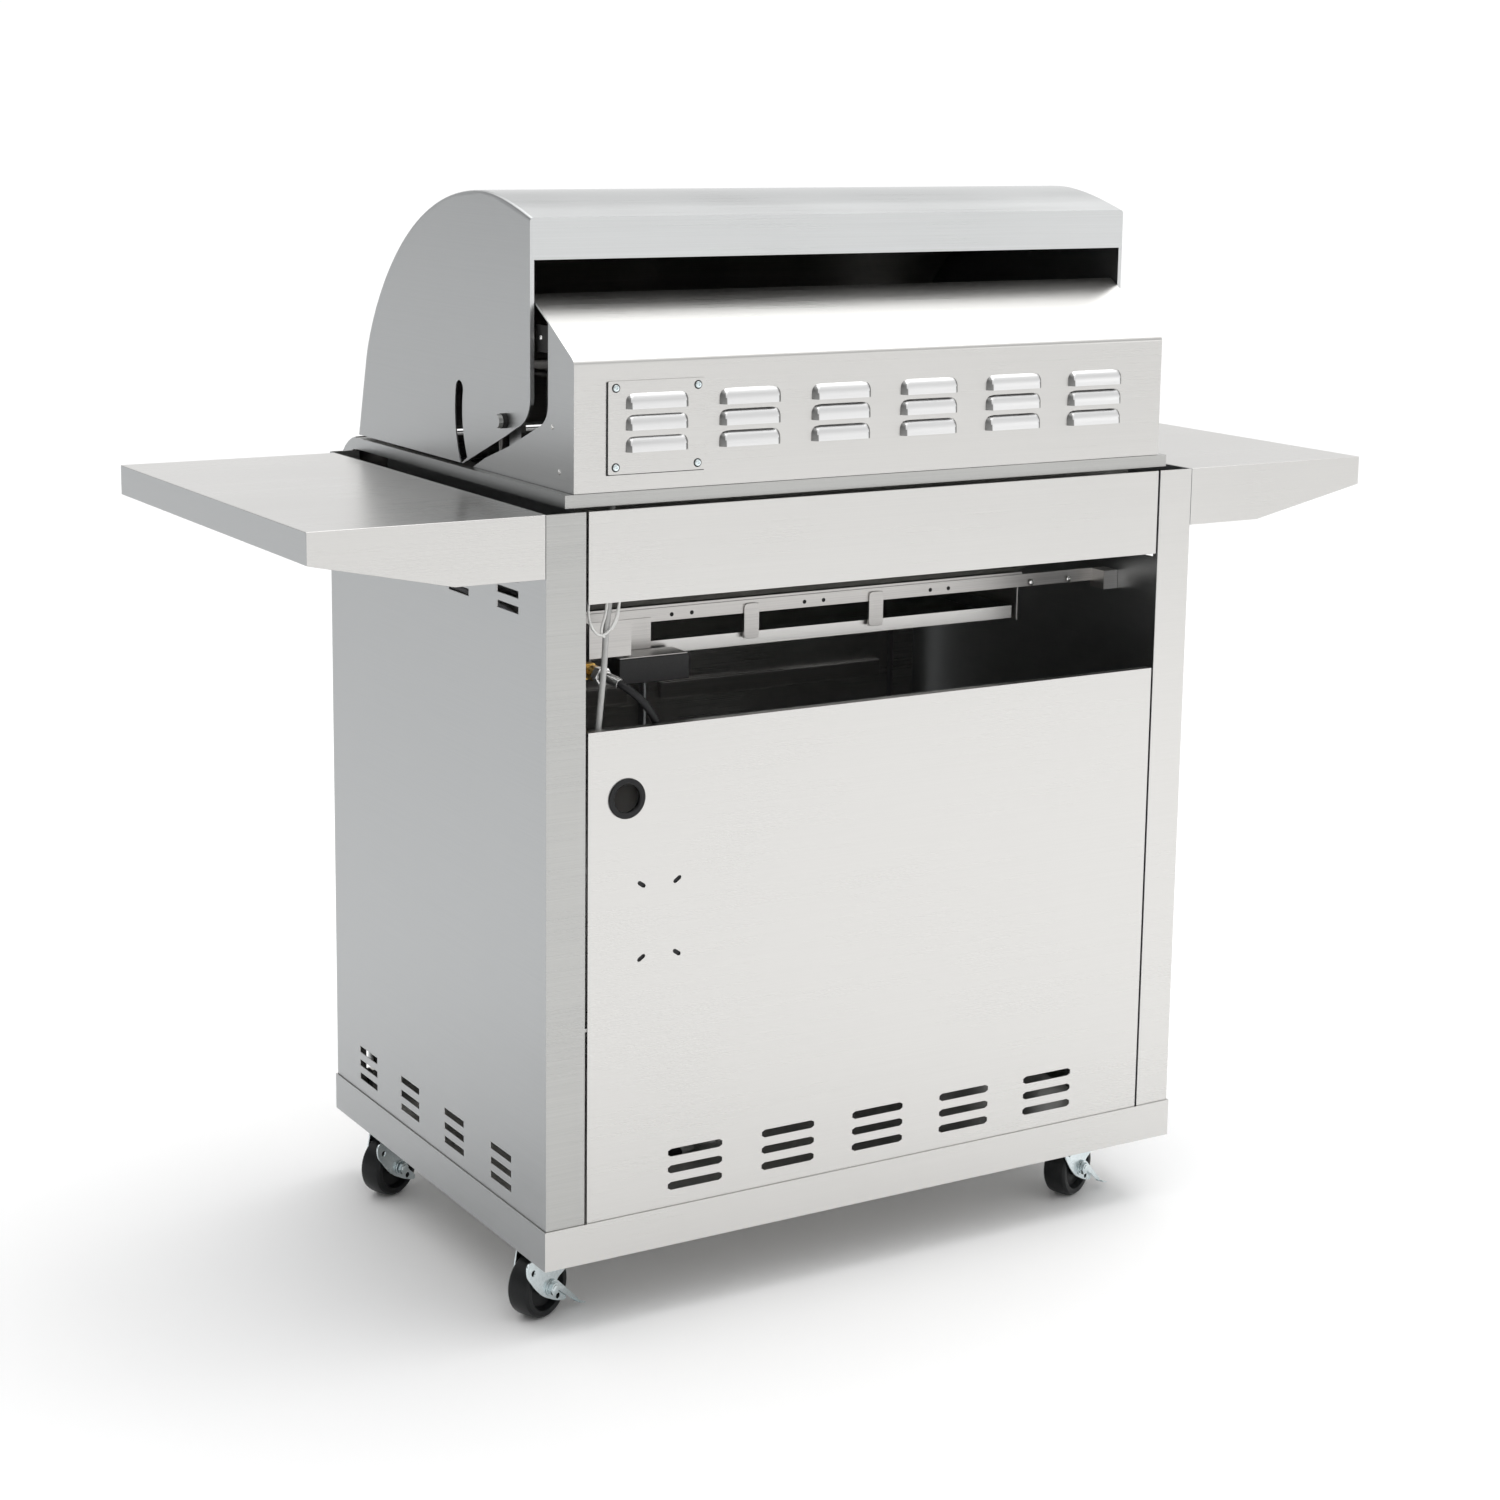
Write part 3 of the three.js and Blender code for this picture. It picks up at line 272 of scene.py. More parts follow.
def polish_edges(obj, width, segments=2, clean=True):
    """Rounds a piece's sharp edges, as bent and deburred sheet metal has, and shades it smooth."""
    if clean:
        weld = obj.modifiers.new("weld", "WELD")
        weld.merge_threshold = 0.00002
        flat = obj.modifiers.new("flat", "DECIMATE")
        flat.decimate_type = "DISSOLVE"
        flat.angle_limit = math.radians(1)
    if width:
        bevel = obj.modifiers.new("bevel", "BEVEL")
        bevel.width = width * MM
        bevel.segments = segments
        bevel.limit_method = "ANGLE"
        bevel.angle_limit = math.radians(40)
        bevel.use_clamp_overlap = True
    smooth = obj.modifiers.new("smooth", "NODES")
    smooth.node_group = SMOOTH
    even = obj.modifiers.new("even", "WEIGHTED_NORMAL")
    even.keep_sharp = True
    even.weight = 100


def ring_points(radius, sides, a=0.0, b=0.0):
    return [
        (a + radius * math.cos(2 * math.pi * i / sides), b + radius * math.sin(2 * math.pi * i / sides))
        for i in range(sides)
    ]


def bezier(points, steps):
    """Points on a quadratic or cubic Bezier curve, both ends included."""
    made = []
    for i in range(steps + 1):
        t, left = i / steps, [Vector(p) for p in points]
        while len(left) > 1:
            left = [a.lerp(b, t) for a, b in zip(left, left[1:])]
        made.append(tuple(left[0]))
    return made


def rounded(outline, radii, steps=4):
    """A closed outline with each corner rounded by its radius; one number serves for all."""
    count = len(outline)
    if not isinstance(radii, (list, tuple)):
        radii = [radii] * count
    made = []
    for i, radius in enumerate(radii):
        here, before, after = (Vector(outline[k % count]) for k in (i, i - 1, i + 1))
        into, out = before - here, after - here
        if radius <= 0 or into.length == 0 or out.length == 0:
            made.append(tuple(here))
            continue
        reach = min(radius, 0.45 * into.length, 0.45 * out.length)
        made += bezier([here + into.normalized() * reach, here, here + out.normalized() * reach], steps)
    return made


class Shape:
    """Closed bodies gathered in one mesh, in cabinet millimetres."""

    PLACES = {
        "X": lambda a, b, t: (t, a, b),
        "Y": lambda a, b, t: (a, t, b),
        "Z": lambda a, b, t: (a, b, t),
    }

    def __init__(self):
        self.vertices, self.faces = [], []

    def add(self, vertices, faces):
        base = len(self.vertices)
        self.vertices += [tuple(v) for v in vertices]
        self.faces += [[base + i for i in face] for face in faces]
        return self

    def prism(self, axis, outline, low, high):
        place, count = self.PLACES[axis], len(outline)
        vertices = [place(a, b, t) for t in (low, high) for a, b in outline]
        sides = [[i, (i + 1) % count, count + (i + 1) % count, count + i] for i in range(count)]
        return self.add(vertices, [list(range(count)), list(range(count, 2 * count))] + sides)

    def box(self, x0, x1, y0, y1, z0, z1):
        return self.prism("Z", [(x0, y0), (x1, y0), (x1, y1), (x0, y1)], z0, z1)

    def bar(self, axis, low, high, a, b, radius, sides=24):
        return self.prism(axis, ring_points(radius, sides, a, b), low, high)

    def lathe(self, axis, a, b, profile, sides=32):
        """A closed (radius, place along the axis) profile turned round an axis; radius 0 closes an end."""
        place, rings, vertices = self.PLACES[axis], [], []
        for radius, t in profile:
            if radius <= 0:
                rings.append([len(vertices)] * sides)
                vertices.append(place(a, b, t))
            else:
                rings.append(list(range(len(vertices), len(vertices) + sides)))
                vertices += [place(p, q, t) for p, q in ring_points(radius, sides, a, b)]
        faces = []
        closed = profile[0][0] > 0
        for k in range(len(rings) if closed else len(rings) - 1):
            one, two = rings[k], rings[(k + 1) % len(rings)]
            for i in range(sides):
                face = [one[i], one[(i + 1) % sides], two[(i + 1) % sides], two[i]]
                face = list(dict.fromkeys(face))
                if len(face) > 2:
                    faces.append(face)
        return self.add(vertices, faces)

    def tube(self, points, radius, sides=12):
        points = [Vector(p) for p in points]
        vertices, faces, normal = [], [], None
        for i, point in enumerate(points):
            along = (points[min(i + 1, len(points) - 1)] - points[max(i - 1, 0)]).normalized()
            if normal is None:
                normal = along.orthogonal().normalized()
            normal = (normal - along * normal.dot(along)).normalized()
            side = along.cross(normal)
            vertices += [point + (normal * p + side * q) for p, q in ring_points(radius, sides)]
        for i in range(len(points) - 1):
            for k in range(sides):
                a, b = i * sides + k, i * sides + (k + 1) % sides
                faces.append([a, b, b + sides, a + sides])
        last = (len(points) - 1) * sides
        return self.add(vertices, faces + [list(range(sides)), list(range(last, last + sides))])

    def moved(self, matrix):
        self.vertices = [tuple(matrix @ Vector(v)) for v in self.vertices]
        return self

    def join(self, other):
        return self.add(other.vertices, other.faces)


def make_object(name, shape):
    mesh = bpy.data.meshes.new(name)
    mesh.from_pydata([at(*v) for v in shape.vertices], [], shape.faces)
    work = bmesh.new()
    work.from_mesh(mesh)
    bmesh.ops.recalc_face_normals(work, faces=work.faces)
    work.to_mesh(mesh)
    work.free()
    obj = bpy.data.objects.new(name, mesh)
    bpy.context.scene.collection.objects.link(obj)
    return obj


def carve(obj, *shapes, operation="DIFFERENCE"):
    """Cuts shapes out of an object, or joins them on, and keeps the result as its mesh."""
    cutters = [make_object(f"cutter_{i}", shape) for i, shape in enumerate(shapes)]
    for cutter in cutters:
        modifier = obj.modifiers.new("boolean", "BOOLEAN")
        modifier.object, modifier.operation, modifier.solver = cutter, operation, "EXACT"
    bpy.context.view_layer.update()
    done = bpy.data.meshes.new_from_object(obj.evaluated_get(bpy.context.evaluated_depsgraph_get()))
    obj.modifiers.clear()
    obj.data = done
    for cutter in cutters:
        bpy.data.objects.remove(cutter)
    return obj


def finish_piece(obj, body, material, bevel=0.4, segments=2, replaces=(), clean=True):
    obj.data.materials.clear()
    obj.data.materials.append(material)
    polish_edges(obj, bevel, segments, clean)
    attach(obj, body)
    if replaces:
        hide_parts(*replaces)
    return obj


def shade_side_faces(obj, material, least=0.7):
    """Gives the faces that look sideways a darker copy of the finish: painted shade for the dimmer light
    those faces get.
    """
    obj.data.materials.append(material)
    for face in obj.data.polygons:
        if abs(face.normal.x) > least:
            face.material_index = 1


def piece(name, shape, body, material, bevel=0.4, segments=2, replaces=(), clean=True):
    return finish_piece(make_object(name, shape), body, material, bevel, segments, replaces, clean)


def fine_piece(name, shape, body, material, replaces=()):
    """A piece whose edges are drawn in its shape, so it gets no bevel."""
    return piece(name, shape, body, material, 0, replaces=replaces, clean=False)


# ---- Cords: the same routes as the CAD's ----
def catmull_rom(points, steps=6):
    """Centripetal Catmull-Rom points through the given ones."""
    pts = [Vector(p) for p in points]
    ends = [pts[0] * 2 - pts[1], *pts, pts[-1] * 2 - pts[-2]]
    made = []
    for p0, p1, p2, p3 in zip(ends, ends[1:], ends[2:], ends[3:]):
        t0, t1 = 0.0, (p1 - p0).length ** 0.5
        t2 = t1 + (p2 - p1).length ** 0.5
        t3 = t2 + (p3 - p2).length ** 0.5
        for i in range(steps):
            t = t1 + (t2 - t1) * i / steps
            a1 = p0 * ((t1 - t) / (t1 - t0)) + p1 * ((t - t0) / (t1 - t0))
            a2 = p1 * ((t2 - t) / (t2 - t1)) + p2 * ((t - t1) / (t2 - t1))
            a3 = p2 * ((t3 - t) / (t3 - t2)) + p3 * ((t - t2) / (t3 - t2))
            b1 = a1 * ((t2 - t) / (t2 - t0)) + a2 * ((t - t0) / (t2 - t0))
            b2 = a2 * ((t3 - t) / (t3 - t1)) + a3 * ((t - t1) / (t3 - t1))
            made.append(b1 * ((t2 - t) / (t2 - t1)) + b2 * ((t - t1) / (t2 - t1)))
    return made + [pts[-1]]


def add_cord(name, route, diameter, material, node_name):
    points = catmull_rom([at(*p) for p in route])
    data = bpy.data.curves.new(name, "CURVE")
    data.dimensions = "3D"
    data.bevel_depth = diameter / 2
    data.bevel_resolution = 4
    data.use_fill_caps = True
    spline = data.splines.new("POLY")
    spline.points.add(len(points) - 1)
    for point, place in zip(spline.points, points):
        point.co = (*place, 1)
    cord = bpy.data.objects.new(name, data)
    bpy.context.scene.collection.objects.link(cord)
    data.materials.append(material)
    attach(cord, "cart")
    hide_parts(node_name)
    length = sum((b - a).length for a, b in zip(points, points[1:]))
    tuple(at(*route[0]))
    return cord


HOSE_ROUTE = [
    (345, 250.5, 750), (344, 262, 749.5), (339, 274, 746), (329, 281.5, 738), (316, 283, 726),
    (303, 282.5, 709), (293, 282, 688), (286, 281, 662), (281, 277, 632), (278, 266, 596),
    (276, 249, 556), (274, 232, 512), (271, 219, 462), (268, 209, 405), (264, 200, 345),
    (260, 191, 285), (256, 181, 232), (250, 169, 187), (240, 154, 152), (224, 137, 127),
    (205, 121, 113.5), (185, 110, 109), (173, 106, 108.6), (161.8, 105, 108.6),
]
CABLE_ROUTE = [
    (350, 272, 962), (350, 274, 930), (352, 276, 890), (355, 277, 845), (359, 277, 810),
    (362, 277, 765), (367, 277, 715), (371, 277, 670), (370, 277, 630), (364, 276.5, 595),
    (353, 276, 568), (342, 276, 552), (336, 276, 539), (335.3, 276, 528),
]
WIRE_ROUTE = [
    (382, 283, 868), (383, 283, 850), (384.5, 283, 833), (381, 283, 817), (374, 283, 808),
    (366, 283, 806), (357, 283, 812), (350, 283, 824), (346.5, 283, 838), (344, 283, 853), (343, 283, 868),
]


def build_regulator():
    shape = Shape()
    x, y = REGULATOR_PLACE
    dish = [(0, 103.4), (24, 103.4), (27.5, 106), (28, 114), (30, 115.5), (30, 118.5), (27, 120), (22, 125)]
    shape.lathe("Z", x, y, dish + [(14, 128), (14, 132), (12, 134), (0, 134)])
    for i in range(8):
        angle = 2 * math.pi * i / 8
        shape.bar("Z", 113.5, 120.5, x + 28.2 * math.cos(angle), y + 28.2 * math.sin(angle), 2.2, 10)
    shape.lathe("X", 92, 115, [(0, 62), (6, 62), (7, 63), (7, 98), (5, 99), (5, 112), (0, 112)], 20)
    shape.tube([(138, 99, 108.6), (150, 103, 108.6), (162, 105, 108.6)], 5.6, 16)
    return piece("regulator", shape, "cart", CAST_ZINC, 0.4, replaces=["gas_regulator"])


def build_supply_fittings():
    elbow, (x, z) = Shape(), INLET
    body = [(0, 187), (7, 187), (9, 188.5), (9, 214), (7.5, 215), (7.5, 219), (9, 220), (9, 233), (0, 233)]
    elbow.lathe("Y", x, z, body, 20)
    elbow.lathe("X", 200, 750, [(0, 343), (8.5, 343), (8.5, 355), (9, 356), (9, 364.5), (0, 365.7)], 20)
    elbow.prism("Y", ring_points(10.6, 6, x, z), 203, 213)
    piece("inlet_elbow", elbow, "cart", BRASS, 0.5, replaces=["gas_inlet"])
    nut = Shape().prism("Y", ring_points(11, 6, x, z), 233.5, 246)
    nut.lathe("Y", x, z, [(0, 246), (8.6, 246), (8.6, 249), (7.2, 250), (7.2, 252), (0, 252)], 24)
    nut.tube([(345, 250, 750), (344.4, 257, 749.8), (342.4, 266, 748.6), (339.5, 273, 746.3)], 6.2, 16)
    sleeve = piece("hose_nut", nut, "cart", POLISHED, 0.5)
    wheel = Shape()
    wheel.lathe("X", *VALVE_AXIS, [(0, 45), (9, 45), (11.4, 47), (11.4, 66), (9.5, 68), (0, 68)], 24)
    for i in range(10):
        angle = 2 * math.pi * i / 10
        rib_y, rib_z = VALVE_AXIS[0] + 11.2 * math.cos(angle), VALVE_AXIS[1] + 11.2 * math.sin(angle)
        wheel.bar("X", 47, 66, rib_y, rib_z, 1.6, 8)
    grip = piece("regulator_handwheel", wheel, "cart", BLACK_PLASTIC, 0.4)
    return sleeve, grip


REGULATOR = build_regulator()
HOSE_NUT, HANDWHEEL = build_supply_fittings()
add_cord(
    "supply_hose", HOSE_ROUTE, 0.009, RUBBER, "gas_hose",
)
add_cord(
    "lamp_cable", CABLE_ROUTE, 0.007, CABLE_GREY, "light_cable",
)
add_cord(
    "spark_wire", WIRE_ROUTE, 0.003, WIRE_WHITE, "igniter_wire",
)


# ---- The CAD's own sheet metal ----
# The firebox and the right side panel take the darker rim steel, which is painted shade.
CAD_LOOKS = {
    "base_pan": (STEEL, 0.9), "side_panel_left": (STEEL, 0.9), "side_panel_right": (SHADED_RIM_STEEL, 0.9),
    "rear_panel": (STEEL, 0.45), "rear_apron": (STEEL, 0.45), "side_shelf_left": (STEEL, 1.3),
    "side_shelf_right": (STEEL, 1.3), "front_rail": (STEEL, 0.45), "firebox": (SHADED_RIM_STEEL, 0.8),
    "control_panel": (STEEL, 0.7), "cooking_grate_left": (IRON, 2.2), "cooking_grate_right": (IRON, 2.2),
    "rear_burner": (INNER_STEEL, 0.8), "gas_manifold": (PIPE_STEEL, 0.6), "head_frame": (INNER_STEEL, 0.4),
    "drip_tray": (STEEL, 0.45), "light_button": (BLACK_PLASTIC, 1.0), "hood_liner": (INNER_STEEL, 0.3),
    "door_left": (STEEL, 0.9), "door_right": (STEEL, 0.9), "light_transformer": (BLACK_PLASTIC, 2.5),
    "igniter_module": (GREY_PLASTIC, 1.5),
    **{f"knob_stem_{i + 1}": (BRASS, 0.3) for i in range(len(KNOB_X))},
    **{f"burner_{i + 1}": (INNER_STEEL, 2.5) for i in range(len(BURNER_X))},
}
for node_name, (look, width) in CAD_LOOKS.items():
    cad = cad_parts[node_name]
    cad.data.materials.clear()
    cad.data.materials.append(look)
    for face in cad.data.polygons:
        face.material_index = 0
    # Sideways faces of the plain and rim steel get the darker side steel: painted shade.
    if look in (STEEL, SHADED_RIM_STEEL):
        shade_side_faces(cad, SHADED_SIDE_STEEL)
    polish_edges(cad, width, 3 if width > 1 else 2)


# ---- Small fasteners ----
AXES = {"+X": ("X", 1), "-X": ("X", -1), "+Y": ("Y", 1), "-Y": ("Y", -1), "+Z": ("Z", 1), "-Z": ("Z", -1)}


def screw_head(shape, direction, x, y, z, radius=3.6, height=2.0):
    """A domed pan head with a cross slot sunk in it, standing on the point in the direction."""
    axis, sign = AXES[direction]
    a, b, base = {"X": (y, z, x), "Y": (x, z, y), "Z": (x, y, z)}[axis]
    dome = [(0, -0.3), (radius, -0.3), (radius, 0.25 * height), (0.86 * radius, 0.7 * height)]
    dome += [(0.6 * radius, 0.93 * height), (0.34 * radius, height)]
    dome += [(0.3 * radius, 0.35 * height), (0, 0.3 * height)]
    shape.lathe(axis, a, b, [(r, base + sign * t) for r, t in dome], 16)
    return shape


def rivets(name, body, material, places, radius=3.6, height=2.0):
    shape = Shape()
    for direction, x, y, z in places:
        screw_head(shape, direction, x, y, z, radius, height)
    return fine_piece(name, shape, body, material)


# ---- Rear housing ----
def housing_slope():
    return (HOUSING["ridge"][1] - HOUSING["corner"]) / (HOUSING["rear"] - HOUSING["ridge"][0])


def housing_side():
    rear, corner, cheek = (HOUSING[k] for k in ("rear", "corner", "cheek"))
    ridge_y, ridge_z = HOUSING["ridge"]
    slope, base = housing_slope(), RIM_TOP + 0.3
    under = corner + (rear - cheek) * slope - 1.8
    bend = bezier([(rear, corner - 6), (rear, corner), (rear - 6, corner + 6 * slope)], 6)
    lip = [(ridge_y, ridge_z), (ridge_y - 3, ridge_z - 0.5)]
    lip += [(ridge_y - 3.4, ridge_z - 6), (ridge_y - 2, ridge_z - 6), (ridge_y - 1, ridge_z - 2.6)]
    heel = bezier([(cheek, 1058), (cheek, 1036), (196, 1028)], 10)
    return [(rear, base), *bend, *lip, (cheek, under), *heel, (127, 1000), (62, 978.6), (30, base)]


def housing_room():
    rear, corner, slope = HOUSING["rear"] - SHEET, HOUSING["corner"] - 1, housing_slope()
    bend = bezier([(rear, corner - 5.5), (rear, corner), (rear - 5.5, corner + 5.5 * slope)], 6)
    top = corner + (rear - 180) * slope - 0.6
    return [(-50, RIM_TOP - 5), (rear, RIM_TOP - 5), *bend, (180, top), (-50, top)]


def louvre(shape, x, y, z):
    """A pressed scoop: it swells from its top edge to an open lower lip, and its ends slant to the sheet."""
    rows, ends, depth, thickness = 10, 6, 7.0, 1.0
    outer, inner = [], []
    for skin, inset in ((outer, 0.0), (inner, thickness)):
        for i in range(rows + 1):
            t = i / rows
            swell = math.sin(t * math.pi / 2) ** 0.6
            height = z + 9 - 18 * t - inset * (1 - t)
            shoulder = 1 - min(t / 0.55, 1)
            foot = 40 - 10 * (1 - math.sqrt(1 - shoulder ** 2)) - inset
            crest = foot - 7.5
            line = []
            for k in range(ends + 1):
                s = k / ends
                rise = math.sin(s * math.pi / 2) ** 0.8
                line.append((-foot + (foot - crest) * s, (depth - inset) * swell * rise))
            line += [(-px, py) for px, py in reversed(line)]
            skin.append([(x + px, y - 0.5 + py + 0.5 * (py > 0), height) for px, py in line])
    count = len(outer[0])
    vertices = [p for skin in (outer, inner) for row in skin for p in row]
    faces, base = [], (rows + 1) * count
    for i in range(rows):
        for k in range(count - 1):
            a = i * count + k
            faces.append([a, a + 1, a + count + 1, a + count])
            faces.append([base + a, base + a + count, base + a + count + 1, base + a + 1])
    edge = [k for k in range(count)] + [i * count + count - 1 for i in range(1, rows + 1)]
    edge += [rows * count + k for k in range(count - 2, -1, -1)] + [i * count for i in range(rows - 1, 0, -1)]
    for a, b in zip(edge, edge[1:] + edge[:1]):
        faces.append([a, base + a, base + b, b])
    shape.add(vertices, faces)


def build_housing():
    half, rear = HOUSING["half"], HOUSING["rear"]
    shell = make_object("rear_cover", Shape().prism("X", housing_side(), -half, half))
    windows = Shape()
    scoops = Shape()
    for z in LOUVRE_ROWS:
        for middle in LOUVRE_COLUMNS:
            for x in (-middle, middle):
                if abs(x - COVER["x"]) > 1:
                    windows.box(x - 30, x + 30, rear - 4, rear + 2, z - 8.6, z + 1)
                    louvre(scoops, x, rear, z)
    windows.box(COVER["x"] - 50, COVER["x"] + 50, rear - 4, rear + 2, COVER["z"] - 40, COVER["z"] + 40)
    carve(shell, Shape().prism("X", housing_room(), -half + SHEET, half - SHEET), windows)
    finish_piece(shell, "cart", STEEL, 0.9, 3, replaces=["rear_housing"])
    # The cheeks and the other sideways faces get painted shade.
    shade_side_faces(shell, SHADED_SIDE_STEEL)
    louvres = fine_piece("rear_louvres", scoops, "cart", LOUVRE_STEEL)
    # The louvres' ends get painted shade.
    shade_side_faces(louvres, SHADED_END_STEEL, 0.35)


def build_cover_plate():
    x, z, half_x, half_z = COVER["x"], COVER["z"], COVER["half_x"], COVER["half_z"]
    y = HOUSING["rear"] + 0.3
    low, high = z - half_z, z + half_z
    outline = rounded([(x - half_x, low), (x + half_x, low), (x + half_x, high), (x - half_x, high)], 2)
    # A black frame just behind the plate's edges: a painted shadow in the gap under the plate.
    shade_frame = Shape().box(x - half_x + 1, x + half_x + 1.2, y - 0.2, y + 0.9, low - 0.8, high - 1)
    plate_shadow = make_object("vent_plate_painted_shadow", shade_frame)
    carve(plate_shadow, Shape().box(x - half_x + 4, x + half_x - 4, y - 2, y + 4, low + 4, high - 4))
    finish_piece(plate_shadow, "cart", PAINTED_SHADE, 0)
    plate = make_object("vent_plate", Shape().prism("Y", outline, y, y + 1.5))
    windows, scoops = Shape(), Shape()
    for row in LOUVRE_ROWS:
        windows.box(x - 30, x + 30, y - 2, y + 4, row - 8.6, row + 1)
        louvre(scoops, x, y + 0.2, row)
    carve(plate, windows)
    finish_piece(plate, "cart", STEEL, 0.4, replaces=["louvre_cover_plate"])
    louvres = fine_piece("vent_plate_louvres", scoops, "cart", LOUVRE_STEEL)
    # The louvres' ends get painted shade.
    shade_side_faces(louvres, SHADED_END_STEEL, 0.35)
    corners = [("+Y", x + sx * 51.5, y + 1.5, z + sz * 43.5) for sx in (-1, 1) for sz in (-1, 1)]
    rivets("vent_plate_screws", "cart", ZINC, corners, 4.0, 2.4)
    washers = Shape()
    for _, sx, sy, sz in corners:
        washers.lathe("Y", sx, sz, [(0, sy - 0.2), (5, sy - 0.2), (5, sy + 0.2), (0, sy + 0.2)], 24)
    fine_piece("vent_plate_washers", washers, "cart", RUBBER)


build_housing()
build_cover_plate()


# ---- Hood ----
def offset_line(line, distance):
    """An open line moved to the right of its direction."""
    made = []
    for i, point in enumerate(line):
        here = Vector(point)
        into = here - Vector(line[max(i - 1, 0)])
        out = Vector(line[min(i + 1, len(line) - 1)]) - here
        into, out = (into or out), (out or into)
        if into.length == 0:
            into = out
        if out.length == 0:
            out = into
        a, b = Vector((into.y, -into.x)).normalized(), Vector((out.y, -out.x)).normalized()
        middle = (a + b).normalized()
        made.append(tuple(here + middle * (distance / max(middle.dot(a), 0.3))))
    return made


def hood_crown():
    front = bezier([(-268, 1063), (-250.7, 1128.3), (-151, 1284), (64.5, 1284)], 36)
    back = bezier([(64.5, 1284), (111, 1284), (HOOD["rear"], 1258.8)], 12)
    return [(-292.6, HOOD["bottom"]), *front, *back[1:]]


def hood_outline():
    heel = bezier([(HOOD["rear"], 1062), (HOOD["rear"], 1034), (156, 1023.5)], 10)
    return [*hood_crown(), *heel, (127, 1011), (62, 986), (16, HOOD["bottom"])]


def spit_slot():
    """The slot that a rotisserie rod drops through: an arc about the hood's pivot with a round top end."""
    def place(angle, radius, middle=PIVOT):
        turn = math.radians(angle)
        return middle[0] + radius * math.cos(turn), middle[1] + radius * math.sin(turn)

    radius, half, start = SPIT["radius"], SPIT["half_width"], SPIT["start"]
    angles = [start + SPIT["sweep"] * i / SPIT["steps"] for i in range(SPIT["steps"] + 1)]
    top = [place(a, half, place(start, radius)) for a in range(180, -1, -15)]
    outer = [place(a, radius + half) for a in reversed(angles)]
    inner = [place(a, radius - half) for a in angles]
    return outer + top + inner


def round_crown(mesh, half, bottom):
    """Rounds the edge where the hood's curved sheet meets its end panels."""
    work = bmesh.new()
    work.from_mesh(mesh)
    crown = {(round(y, 2), round(z, 2)) for y, z in hood_crown()}

    def on_crown(vertex):
        place = vertex.co / MM
        return abs(abs(place.x) - half) < 0.1 and (round(place.y - Y_SHIFT, 2), round(place.z, 2)) in crown

    edges = [e for e in work.edges if all(map(on_crown, e.verts))]
    edges = [e for e in edges if abs(e.verts[0].co.x - e.verts[1].co.x) < 0.001]
    edges = [e for e in edges if min(v.co.z for v in e.verts) > bottom * MM - 0.001]
    bmesh.ops.bevel(
        work, geom=edges, offset=4.2 * MM, segments=4, profile=0.5, affect="EDGES", clamp_overlap=True,
    )
    work.to_mesh(mesh)
    work.free()


def build_hood():
    half, bottom, rear = HOOD["half"], HOOD["bottom"], HOOD["rear"]
    shell = make_object("hood_skin", Shape().prism("X", hood_outline(), -half, half))
    round_crown(shell.data, half, bottom)
    inner = offset_line(hood_crown(), SHEET)
    room = [(-292.6 + SHEET, bottom - 20), *inner, (rear - SHEET, bottom - 20)]
    carve(
        shell,
        Shape().prism("X", room, -half + SHEET, half - SHEET),
        Shape().box(-404.5, 404.5, rear - 20, rear + 10, bottom - 10, HOOD["band"]),
        Shape().prism("X", spit_slot(), -420, 420),
        Shape().bar("X", -420, 420, PIVOT[0], PIVOT[1], 6, 24),
    )
    finish_piece(shell, "hood", HOOD_STEEL, 0.6, 2, replaces=["hood_shell"])
    # The hood's end panels get painted shade.
    shade_side_faces(shell, SHADED_SIDE_STEEL)
    hem = Shape().box(-404, 404, rear - 9, rear - 1.2, HOOD["band"], HOOD["band"] + 1.2)
    piece("hood_band_hem", hem, "hood", HOOD_STEEL, 0.3)


def build_pivot_screws():
    """A socket screw on a standoff at each end of the hood; the standoff and the socket's floor are black,
    which is painted shade.
    """
    y, z = PIVOT
    screws, standoffs = Shape(), Shape()
    for side in (-1, 1):
        head = [(0, 415.8), (7.6, 415.8), (7.6, 420), (6.8, 420.9), (4, 420.9), (3.8, 417.6), (0, 417.4)]
        screws.lathe("X", y, z, [(r, side * x) for r, x in head], 32)
        body = [(0, 409.9), (8.6, 409.9), (8.6, 415.2), (7.8, 415.7), (0, 415.7)]
        standoffs.lathe("X", y, z, [(r, side * x) for r, x in body], 32)
        standoffs.bar("X", *sorted((side * 417.5, side * 418)), y, z, 3.6, 6)
    fine_piece("pivot_screws", screws, "cart", POLISHED)
    fine_piece("pivot_standoffs", standoffs, "cart", PAINTED_SHADE)


GAUGE = Vector((0, -251.5, 1107.5))
GAUGE_TILT = math.atan2(33, 73)


def gauge_matrix():
    return Matrix.Translation(GAUGE) @ Matrix.Rotation(-GAUGE_TILT, 4, "X")


